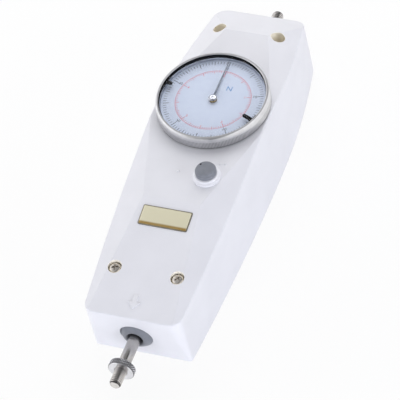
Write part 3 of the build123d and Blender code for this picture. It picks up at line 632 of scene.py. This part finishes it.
# %% Turning and finishing helpers
def turned(outline, steps, rounded=(), round_steps=3):
    """A closed outline of (radius, height) in millimetres, spun round Z. rounded: (corner, mm)."""
    bm = bmesh.new()
    corners = [bm.verts.new((radius * MM, 0, height * MM)) for radius, height in outline]
    for start, end in zip(corners, corners[1:] + corners[:1]):
        bm.edges.new((start, end))
    for corner, size in rounded:
        bmesh.ops.bevel(bm, geom=[corners[corner]], offset=size * MM, affect="VERTICES",
                        segments=round_steps, profile=0.5, material=-1)
    bmesh.ops.spin(bm, geom=bm.verts[:] + bm.edges[:], cent=(0, 0, 0), axis=(0, 0, 1),
                   angle=2 * pi, steps=steps, use_merge=True)
    bmesh.ops.remove_doubles(bm, verts=bm.verts, dist=1e-7)
    return bm


def moved(bm, matrix):
    bmesh.ops.transform(bm, matrix=matrix, verts=bm.verts)
    return bm


def push_out(vert, factor):
    """Scale a vertex's distance from the Z axis."""
    vert.co.x *= factor
    vert.co.y *= factor


def standing_at(point):
    return Matrix.Translation(point)


def piece(bm, name, body, finish, stands_for=(), sharp=32):
    """Close, smooth and name a mesh, and let it ride on its body."""
    bmesh.ops.remove_doubles(bm, verts=bm.verts, dist=1e-7)
    bmesh.ops.recalc_face_normals(bm, faces=bm.faces)
    mesh = bpy.data.meshes.new(name)
    bm.to_mesh(mesh)
    bm.free()
    mesh.shade_smooth()
    mesh.set_sharp_from_angle(angle=radians(sharp))
    mesh.materials.append(finish)
    thing = add_object(name, mesh)
    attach(thing, body)
    if stands_for:
        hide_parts(*stands_for)
    print(name, len(mesh.polygons), "faces")
    return thing


def join_into(bm, other):
    """Add another bmesh to this one."""
    spare = bpy.data.meshes.new("spare")
    other.to_mesh(spare)
    other.free()
    bm.from_mesh(spare)
    bpy.data.meshes.remove(spare)
    return bm


print("housing screws at", [tuple(round(c * 1000, 1) for c in (a + b) / 2)
                            for a, b in solids_of("housing_screws")])

# %% [markdown]
# ## Bezel
# The bezel is a turned ring that the user grips to set the zero. Its upper half is polished and
# rolls over into a bright lip, and its lower half has fine upright grooves. The grooves
# are real geometry: the ring is spun in twice as many steps as it has grooves, and every second
# column of the grooved band is pushed in.

# %% Bezel ring
GROOVE_DEPTH = 0.11
bezel_low, bezel_high = levels_of("bezel_ring")
bezel_radius = radius_of("bezel_ring") / MM
seat_radius = radius_of("lens_gasket") / MM + 0.05
snap_radius = radius_of("bezel_snap_ring") / MM
spigot_bore = snap_radius - 0.5
snap_low = low_of("bezel_snap_ring").z / MM - 0.05
snap_high = high_of("bezel_snap_ring").z / MM + 0.05
dial_seat = low_of("dial_plate").z / MM
bezel_outline = [
    (bezel_radius - 0.3, bezel_low), (bezel_radius, bezel_low + 0.3),
    (bezel_radius, groove_low), (bezel_radius, groove_low + 0.02),
    (bezel_radius, groove_high - 0.02), (bezel_radius, groove_high),
    (bezel_radius, bezel_high - 2.3), (bezel_radius - 0.06, bezel_high - 1.5),
    (bezel_radius - 0.24, bezel_high - 0.8), (bezel_radius - 0.55, bezel_high - 0.25),
    (bezel_radius - 0.9, bezel_high), (seat_radius - 0.3, bezel_high - 0.03),
    (seat_radius - 0.45, bezel_high - 0.2), (seat_radius - 0.45, bezel_high - 0.33),
    (seat_radius, bezel_high - 0.34), (seat_radius, dial_seat), (spigot_bore, dial_seat),
    (spigot_bore, snap_high), (snap_radius + 0.2, snap_high), (snap_radius + 0.2, snap_low),
    (spigot_bore, snap_low), (spigot_bore, bezel_low),
]
bezel_bm = turned(bezel_outline, 2 * GROOVES, rounded=[(7, 0.4), (8, 0.3), (9, 0.25), (10, 0.25),
                                                       (11, 0.1)])
step = pi / GROOVES
for vert in bezel_bm.verts:
    reach = hypot(vert.co.x, vert.co.y)
    column = round(atan2(vert.co.y, vert.co.x) / step)
    in_band = groove_low + 0.01 < vert.co.z / MM < groove_high - 0.01
    if in_band and reach > (bezel_radius - 0.01) * MM and column % 2:
        push_out(vert, 1 - GROOVE_DEPTH * MM / reach)
piece(moved(bezel_bm, standing_at(dial_axis)), "grooved_bezel", "dial", bezel_chrome,
      ["bezel_ring"], sharp=24)

# %% [markdown]
# Under the lens a plain metal ring holds the black ring above the dial. Its inner face slopes a
# little, so it catches the light. A short cone, turned from a few corners, gives that slope.

# %% Bright ring under the lens
ring_low, ring_high = levels_of("spacer_ring")
ring_outer = radius_of("spacer_ring") / MM
piece(moved(turned([(ring_outer, ring_low), (ring_outer, ring_high), (ring_outer - 0.78, ring_high),
                    (ring_outer - 1.1, ring_low + 0.06), (ring_outer - 1.1, ring_low)], 180,
                   rounded=[(2, 0.1)]), standing_at(dial_axis)),
      "sloping_spacer", "dial", spacer_alloy, ["spacer_ring"])

# %% [markdown]
# ## Dial print
# The dial has a black scale of a hundred divisions at its rim and a red one inside it, with plain
# numbers. A printed mark is a very thin raised bar. One bar is made from a cube, and a loop turns
# copies of it round the dial.

# %% Scales
PRINT = 0.012
OUTER_END = 24.85
RED_CIRCLE = 18.85
PRINT_TURN = 1.0     # degrees


def bar(bm, near, far, width, angle):
    """A printed mark between two radii, at an angle clockwise from the zero mark."""
    made = bmesh.ops.create_cube(bm, size=1.0)["verts"]
    size = Matrix.Diagonal((width * MM, (far - near) * MM, PRINT * MM, 1))
    place = standing_at((0, (near + far) / 2 * MM, PRINT / 2 * MM))
    bmesh.ops.transform(bm, matrix=Matrix.Rotation(-radians(angle), 4, "Z") @ place @ size,
                        verts=made)


black_scale = bmesh.new()
red_scale = bmesh.new()
for mark in range(100):
    angle = PRINT_TURN + 3.6 * mark
    if mark % 10 == 0:
        bar(black_scale, 21.9, OUTER_END, 0.28, angle)
        bar(red_scale, 16.7, RED_CIRCLE, 0.26, angle)
    elif mark % 5 == 0:
        bar(black_scale, 22.7, OUTER_END, 0.24, angle)
        bar(red_scale, 17.3, RED_CIRCLE, 0.22, angle)
    else:
        bar(black_scale, 23.2, OUTER_END, 0.2, angle)
        bar(red_scale, 17.7, RED_CIRCLE, 0.19, angle)
circle = turned([(RED_CIRCLE - 0.08, 0), (RED_CIRCLE + 0.08, 0), (RED_CIRCLE + 0.08, PRINT),
                 (RED_CIRCLE - 0.08, PRINT)], 160)
join_into(red_scale, circle)
on_dial = standing_at(dial_axis + Vector((0, 0, dial_face)))
piece(moved(black_scale, on_dial), "dial_black_scale", "dial", print_black)
piece(moved(red_scale, on_dial), "dial_red_scale", "dial", print_red)

# %% Numbers
def written(words, height, place):
    """Plain letters or numbers as a thin solid, centred on a place of the dial."""
    curve = bpy.data.curves.new("words", "FONT")
    curve.body = words
    curve.size = height * MM
    curve.align_x = "CENTER"
    curve.align_y = "CENTER"
    curve.extrude = PRINT / 2 * MM
    curve.resolution_u = 3
    holder = add_object("words", curve)
    bpy.context.view_layer.update()
    mesh = bpy.data.meshes.new_from_object(holder)
    bpy.data.objects.remove(holder)
    bpy.data.curves.remove(curve)
    bm = bmesh.new()
    bm.from_mesh(mesh)
    bpy.data.meshes.remove(mesh)
    return moved(bm, standing_at((place[0] * MM, place[1] * MM, PRINT / 2 * MM)))


def round_the_dial(radius, angle):
    return (radius * sin(radians(angle)), radius * cos(radians(angle)))


black_words = bmesh.new()
red_words = bmesh.new()
for fifth in range(5):
    angle = PRINT_TURN + 72 * fifth
    join_into(black_words, written(str(10 * fifth), 2.3, round_the_dial(20.6, angle)))
    join_into(red_words, written(str(fifth), 1.9, round_the_dial(15.6, angle)))
blue_words = written("N", 4.2, (5.6, 8.3))
piece(moved(black_words, on_dial), "dial_black_numbers", "dial", print_black)
piece(moved(red_words, on_dial), "dial_red_numbers", "dial", print_red)
piece(moved(blue_words, on_dial), "dial_unit", "dial", print_blue)

# %% [markdown]
# ## Hub of the pointer
# A small turned boss, domed and bright, with the end of the arbor showing as a dimple.

# %% Pointer hub
hub_low, hub_high = levels_of("pointer_hub")
hub_radius = radius_of("pointer_hub") / MM
hub_outline = [
    (0, hub_high - 0.3), (0.55, hub_high - 0.3), (0.6, hub_high - 0.02), (0.95, hub_high),
    (hub_radius * 0.8, hub_high - 0.16), (hub_radius, hub_high - 0.45),
    (hub_radius, hub_low + 0.08), (hub_radius - 0.1, hub_low), (1.2, hub_low),
    (1.2, hub_low + 0.2), (0, hub_low + 0.2),
]
piece(moved(turned(hub_outline, 64, rounded=[(3, 0.12), (4, 0.2), (5, 0.1)]),
            standing_at(dial_axis)),
      "domed_pointer_hub", "pointer_train", hub_chrome, ["pointer_hub"])

# %% [markdown]
# ## Hold knob
# The knob is a plain grey button with a soft rim, a slightly crowned top and one black dot that
# shows which way it is turned.

# %% Knob and its dot
knob_low, knob_high = levels_of("hold_knob")
knob_radius = radius_of("hold_knob") / MM - 0.2
shaft_top = high_of("knob_shaft").z / MM
SHAFT = 2.0
SEAT = 0.8
knob_outline = [
    (0, knob_high + 0.3), (knob_radius * 0.6, knob_high + 0.22), (knob_radius - 1.0, knob_high),
    (knob_radius - 0.45, knob_high - 0.4), (knob_radius - 0.32, knob_high - 1.1),
    (knob_radius, knob_high - 1.3), (knob_radius, knob_low + SEAT + 0.15),
    (knob_radius - 0.2, knob_low + SEAT), (SHAFT, knob_low + SEAT), (SHAFT, shaft_top),
    (0, shaft_top),
]
piece(moved(turned(knob_outline, 96, rounded=[(1, 0.8), (2, 0.4), (3, 0.25), (4, 0.1), (5, 0.1)],
                   round_steps=4), standing_at(knob_axis)),
      "crowned_hold_knob", "knob", knob_grey, ["hold_knob"], sharp=40)
DOT_PLACE = (-2.9, 1.9)
dot_bm = turned([(0, -0.25), (0.5, -0.25), (0.5, 0.012), (0, 0.03)], 32)
dot_top = knob_high + 0.17
piece(moved(dot_bm, standing_at(knob_axis + Vector((DOT_PLACE[0] * MM, DOT_PLACE[1] * MM,
                                                    dot_top * MM)))),
      "knob_dot", "knob", marker_black)
seat_outline = [(SHAFT + 0.3, knob_low - 0.3), (knob_radius + 0.95, knob_low - 0.3),
                (knob_radius + 0.8, knob_low + 0.3), (knob_radius + 0.35, knob_low + SEAT - 0.1),
                (SHAFT + 0.3, knob_low + SEAT - 0.1)]
piece(moved(turned(seat_outline, 96, rounded=[(2, 0.35), (3, 0.25)]), standing_at(knob_axis)),
      "knob_seat", "case", case_paint, sharp=50)

# %% [markdown]
# ## Housing screws
# Four pan-head screws with a cross recess sit deep in their holes. The recess has
# sloping walls, so its cutter is two crossed wedges, taken out of the turned head with a Boolean.

# %% Screws
HEAD = 3.05
SHANK = 1.5
CAD_HEAD = 1.9                # height of the plain head that this one stands for
PUSH_CROWN, PULL_CROWN = 3.9, 5.3
CROSS_LONG = (2.0, 4.2)       # of each bar of the cross: at its bottom and at its top
CROSS_WIDE = (0.5, 1.1)
CROSS_LEVEL = (-1.2, 0.6)


def cross_cutter():
    """Two crossed bars that narrow downwards, meeting below the middle of the head."""
    bm = bmesh.new()
    for turn in (0, 90):
        made = bmesh.ops.create_cube(bm, size=1.0)["verts"]
        for vert in made:
            end = 0 if vert.co.z < 0 else 1
            vert.co.x *= CROSS_LONG[end] * MM
            vert.co.y *= CROSS_WIDE[end] * MM
            vert.co.z = CROSS_LEVEL[end] * MM
        bmesh.ops.rotate(bm, cent=(0, 0, 0), matrix=Matrix.Rotation(radians(turn), 3, "Z"),
                         verts=made)
    return bm


def object_of(bm, name):
    mesh = bpy.data.meshes.new(name)
    bm.to_mesh(mesh)
    bm.free()
    return add_object(name, mesh)


def cut_out(bm, cutter_bm):
    """The first mesh less the second one, by an exact Boolean."""
    bmesh.ops.recalc_face_normals(bm, faces=bm.faces)
    body = object_of(bm, "uncut")
    cutter = object_of(cutter_bm, "cutter")
    cut = body.modifiers.new("cut", "BOOLEAN")
    cut.object = cutter
    cut.operation = "DIFFERENCE"
    cut.solver = "EXACT"
    cut.use_self = True
    bpy.context.view_layer.update()
    result = bmesh.new()
    result.from_object(body, bpy.context.evaluated_depsgraph_get())
    for thing in (body, cutter):
        bpy.data.objects.remove(thing)
    return result


def pan_screw(length, top):
    """A screw with its head's seat at height 0, its crown at top and its shank below."""
    outline = [(0, top), (1.2, top - 0.05), (2.3, top - 0.3), (2.85, top - 0.75), (HEAD, top - 1.2),
               (HEAD, 0), (SHANK, 0), (SHANK, -length + 0.5), (SHANK - 0.5, -length), (0, -length)]
    head = turned(outline, 56, rounded=[(2, 0.3), (3, 0.3), (4, 0.15)])
    cutter = moved(cross_cutter(), standing_at((0, 0, (top - 0.05) * MM)))
    return cut_out(head, cutter)


screws_bm = bmesh.new()
for number, (low, high) in enumerate(solids_of("housing_screws")):
    seat = high.z / MM - CAD_HEAD
    screw = pan_screw(seat - low.z / MM, PUSH_CROWN if low.y < 0 else PULL_CROWN)
    turn = Matrix.Rotation(radians(20 + 34 * number), 4, "Z")
    place = standing_at(((low.x + high.x) / 2, (low.y + high.y) / 2, seat * MM))
    join_into(screws_bm, moved(screw, place @ turn))
piece(screws_bm, "cross_head_screws", "case", screw_nickel, ["housing_screws"])

# %% [markdown]
# ## Measuring rod
# The rod is ground smooth between its threads. A thread is one ridge whose cross-section is spun
# and moved along the axis at the same time, which is what the spin operator's dvec does.

# %% Rod with two threads
ROD = 3.0
ROOT = 2.48
PITCH = 1.0
push_tip = low_of("measuring_rod").y / MM
pull_tip = high_of("measuring_rod").y / MM
PUSH_THREAD = 13.0
PULL_THREAD = 13.0
STEPS_A_TURN = 40


def along_rod(y, way):
    """Lays what was turned round Z along the rod from y: way is -1 for a face to the push end."""
    turn = Matrix.Rotation(radians(90 * way), 4, "X")
    return standing_at((rod_line.x, y, rod_line.z)) @ turn


def thread_ridge(length):
    """A ridge round Z from height 0 down by a length, fading into the root at both ends."""
    bm = bmesh.new()
    shape = [(ROOT - 0.15, 0.48), (ROD - 0.05, 0.2), (ROD - 0.05, -0.2), (ROOT - 0.15, -0.48)]
    corners = [bm.verts.new((radius * MM, 0, height * MM)) for radius, height in shape]
    cap = bm.faces.new(corners)
    turns = length / PITCH
    steps = int(turns * STEPS_A_TURN)
    bmesh.ops.spin(bm, geom=[cap], cent=(0, 0, 0), axis=(0, 0, 1),
                   dvec=(0, 0, -length / steps * MM), angle=2 * pi * turns, steps=steps)
    fade = 0.7 * PITCH * MM
    for vert in bm.verts:
        reach = hypot(vert.co.x, vert.co.y)
        depth = min(-vert.co.z, length * MM + vert.co.z)
        if reach > ROOT * MM and depth < fade:
            target = ROOT * MM + (reach - ROOT * MM) * max(depth, 0) / fade
            push_out(vert, target / reach)
    return bm


rod_length = pull_tip - push_tip
rod_outline = [
    (0, 0), (ROOT - 0.3, 0), (ROOT, 0.3), (ROOT, PUSH_THREAD - 0.4), (ROD, PUSH_THREAD),
    (ROD, rod_length - PULL_THREAD), (ROOT, rod_length - PULL_THREAD + 0.4),
    (ROOT, rod_length - 0.3), (ROOT - 0.3, rod_length), (0, rod_length),
]
rod_bm = turned(rod_outline, 64, rounded=[(1, 0.15), (2, 0.15), (7, 0.15), (8, 0.15)])
for start, length in ((0.5, PUSH_THREAD - 0.9),
                      (rod_length - PULL_THREAD + 0.4, PULL_THREAD - 0.9)):
    ridge = thread_ridge(length)
    join_into(rod_bm, moved(ridge, standing_at((0, 0, (start + length) * MM))))
piece(moved(rod_bm, along_rod(push_tip * MM, -1)), "threaded_rod", "rod", rod_steel,
      ["measuring_rod"], sharp=50)

# %% [markdown]
# ## Lock nut
# Its rim is knurled: two sets of crossing grooves leave rows of little diamonds. The rim has four
# columns of vertices to a diamond, and each vertex is raised by how far it is from the nearest
# groove. The faces are then split along their shorter diagonal, which lies in the groove.

# %% Knurled nut
KNURLS = 30
KNURL_HEIGHT = 0.34
nut_width = (high_of("rod_lock_nut").y - low_of("rod_lock_nut").y) / MM
nut_radius = radius_of("rod_lock_nut") / MM
ROWS = 9
RIM_START = 0.45
rim_width = nut_width - 0.9
rim = [(nut_radius - KNURL_HEIGHT, RIM_START + rim_width * row / (ROWS - 1))
       for row in range(ROWS)]
nut_outline = ([(ROD + 0.05, 0.35), (ROD + 0.4, 0), (nut_radius - 0.75, 0),
                (nut_radius - 0.5, 0.25)] + rim
               + [(nut_radius - 0.5, nut_width - 0.25), (nut_radius - 0.75, nut_width),
                  (ROD + 0.4, nut_width), (ROD + 0.05, nut_width - 0.35)])
nut_bm = turned(nut_outline, 4 * KNURLS)
knurl_step = pi / (2 * KNURLS)


def above_groove(count):
    """0 on a groove and 1 halfway between two, for a count of quarter pitches."""
    return 1 - abs(count % 4 / 2 - 1)


for vert in nut_bm.verts:
    reach = hypot(vert.co.x, vert.co.y)
    if abs(reach / MM - rim[0][0]) < 0.01:
        column = round(atan2(vert.co.y, vert.co.x) / knurl_step)
        row = round((vert.co.z / MM - RIM_START) / (rim_width / (ROWS - 1)))
        rise = min(above_groove(column + row), above_groove(column - row))
        push_out(vert, 1 + rise * KNURL_HEIGHT * MM / reach)
bmesh.ops.triangulate(nut_bm, faces=nut_bm.faces, quad_method="SHORT_EDGE")
piece(moved(nut_bm, along_rod(low_of("rod_lock_nut").y, -1)), "knurled_nut", "lock_nut",
      nut_chrome, ["rod_lock_nut"], sharp=20)

# %% [markdown]
# ## Guide collars
# Each end of the case has a moulded grey collar with a rounded rim and a dished mouth round the
# rod. The two are the same piece, turned to face outwards.

# %% Collars
MOUTH = 3.8
COLLAR_BODY = 6.2
BUSH_POCKET = (4.82, 6.0)     # radius and depth, at the inner end


def collar(name, node, outer_y, way):
    """way is -1 at the push end and +1 at the pull end; heights run inwards from the face."""
    depth = (high_of(node).y - low_of(node).y) / MM
    flange = radius_of(node) / MM
    outline = [(MOUTH, 0.8), (MOUTH + 0.5, 0.05), (MOUTH + 1.3, 0.1), (MOUTH + 2.8, 1.05),
               (flange - 0.7, 2.1), (flange - 0.05, 2.75), (flange, 2.95), (flange, 3.8),
               (COLLAR_BODY, 3.8), (COLLAR_BODY, depth),
               (BUSH_POCKET[0], depth), (BUSH_POCKET[0], depth - BUSH_POCKET[1]),
               (MOUTH, depth - BUSH_POCKET[1])]
    bm = turned(outline, 96, rounded=[(0, 0.3), (1, 0.25), (2, 0.4), (3, 0.8), (4, 0.6), (6, 0.08)],
                round_steps=4)
    piece(moved(bm, along_rod(outer_y, way)), name, "case", collar_grey, [node],
          sharp=40)


collar("push_end_collar", "push_collar", low_of("push_collar").y, -1)
collar("pull_end_collar", "pull_collar", high_of("pull_collar").y, 1)

# %% [markdown]
# ## Name plate
# The plate is a gold-coloured strip under a clear domed resin. It carries no words. A rim of bare
# metal shows round the dome.

# %% Name plate
SLOPE = 9.8          # degrees, of the front towards the push end
plate_half = radius_of("name_plate") / MM
plate_middle = middle_of("name_plate")
PLATE_LENGTH = 10.8
PLATE_THICK = 0.9


def rounded_block(width, length, low, high, corner, crown):
    """A flat block with rounded upright corners and a softened upper edge."""
    bm = bmesh.new()
    made = bmesh.ops.create_cube(bm, size=1.0)["verts"]
    size = Matrix.Diagonal((width * MM, length * MM, (high - low) * MM, 1))
    bmesh.ops.transform(bm, matrix=standing_at((0, 0, (low + high) / 2 * MM)) @ size,
                        verts=made)
    upright = [e for e in bm.edges if abs((e.verts[0].co - e.verts[1].co).z) > 1e-6]
    bmesh.ops.bevel(bm, geom=upright, offset=corner * MM, affect="EDGES", segments=5,
                    profile=0.5, material=-1)
    top = high * MM
    upper = [e for e in bm.edges if all(abs(v.co.z - top) < 1e-7 for v in e.verts)]
    bmesh.ops.bevel(bm, geom=upper, offset=crown * MM, affect="EDGES", segments=4,
                    profile=0.5, material=-1)
    return bm


plate_metal = metal("plate_rim_metal", (150, 146, 132), (176, 170, 150), 0.2, 0.35,
                    flat_coordinates)
on_slope = standing_at(plate_middle) @ Matrix.Rotation(radians(SLOPE), 4, "X")
strip = rounded_block(2 * plate_half, PLATE_LENGTH, -PLATE_THICK / 2, PLATE_THICK / 2 - 0.3,
                      0.8, 0.12)
piece(moved(strip, on_slope), "name_plate_strip", "case", plate_metal,
      ["name_plate"], sharp=40)
gold, gold_nodes, gold_links, gold_shader = start_finish("gold_under_resin", 0.2, 0.25)
gold_where = flat_coordinates(gold_nodes, gold_links)
_, _, gold_height = polar(gold_nodes, gold_links, plate_middle, upright=False)
edge_of_foil = ramp_between(gold_nodes, gold_links, gold_height, -4.1 * MM, -3.1 * MM)
cloudy = calculate(gold_nodes, gold_links, "MULTIPLY_ADD",
                   add_noise(gold_nodes, gold_links, gold_where, 9 * MM, 2), 0.25, edge_of_foil)
tint(gold_nodes, gold_links, cloudy, (158, 128, 62), (226, 220, 190), gold_shader,
     low=0.1, high=0.95)
vary_roughness(gold_nodes, gold_links, add_noise(gold_nodes, gold_links, gold_where, 5 * MM, 2),
               0.18, 0.26, gold_shader)
gold_shader.inputs["Coat Weight"].default_value = 1.0
gold_shader.inputs["Coat Roughness"].default_value = 0.05
dome = rounded_block(2 * plate_half - 1.0, PLATE_LENGTH - 0.9, PLATE_THICK / 2 - 0.45,
                     PLATE_THICK / 2, 0.5, 0.4)
piece(moved(dome, on_slope), "name_plate_dome", "case", gold, sharp=60)

# %% [markdown]
# ## Raised signs
# The case has a few low signs moulded into it. An arrow near the push end shows the way the rod is
# pushed, and one and two dots beside the knob mark its two places. The arrow is a flat face of
# seven corners, extruded and softened, and the dots are short turned domes.

# %% Raised signs
SIGN = 0.45
SUNK = 0.2           # how far the arrow reaches into the paint
ARROW_PLACE = (-0.3, -46.6)
DOT_PLACES = ((-3.2, -10.2), (15.6, -1.9), (18.0, -1.3))
BUSH_STANDS = 1.6    # height of the knob's bush above the plateau
surface = -0.15      # level of the slope, from the middle of the plate
arrow_bm = bmesh.new()
arrow_shape = [(-1.1, 3.8), (1.1, 3.8), (1.1, 0.2), (3.3, 0.2), (0, -3.6), (-3.3, 0.2),
               (-1.1, 0.2)]
arrow_face = arrow_bm.faces.new([arrow_bm.verts.new((x * MM, y * MM, (surface - SUNK) * MM))
                                 for x, y in arrow_shape])
raised = bmesh.ops.extrude_face_region(arrow_bm, geom=[arrow_face])
top_verts = [item for item in raised["geom"] if isinstance(item, bmesh.types.BMVert)]
bmesh.ops.translate(arrow_bm, verts=top_verts, vec=(0, 0, (SIGN + SUNK) * MM))
top_edges = [e for e in arrow_bm.edges if e.verts[0] in top_verts and e.verts[1] in top_verts]
bmesh.ops.bevel(arrow_bm, geom=top_edges, offset=0.12 * MM, affect="EDGES", segments=2,
                profile=0.5, material=-1)
moved(arrow_bm, standing_at((ARROW_PLACE[0] * MM, ARROW_PLACE[1] * MM, 0)))
piece(moved(arrow_bm, on_slope), "raised_arrow", "case", case_paint, sharp=40)

plateau_top = high_of("knob_bush").z / MM - BUSH_STANDS
dots_bm = bmesh.new()
for x, y in DOT_PLACES:
    dot = turned([(0, -0.3), (0.75, -0.3), (0.75, 0.12), (0.45, SIGN - 0.03), (0, SIGN)], 24,
                 rounded=[(2, 0.1), (3, 0.2)])
    join_into(dots_bm, moved(dot, standing_at((x * MM, y * MM, plateau_top * MM))))
piece(dots_bm, "raised_dots", "case", case_paint, sharp=40)

# %% [markdown]
# ## Main spring
# The far end of the spring sits in a cup fixed to the case, and its near end sits on a seat that
# the rod carries, so on the real gauge it shortens towards the cup by as much as the rod slides.
# Here the spring only gets a mesh of its own, and the middle of its cup end is found.

# %% Spring and its cup end
cup_end = middle_of("main_spring")
cup_end.y = high_of("main_spring").y
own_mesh(frame["nodes"]["main_spring"])

# %% End of the scene
print("scene built")
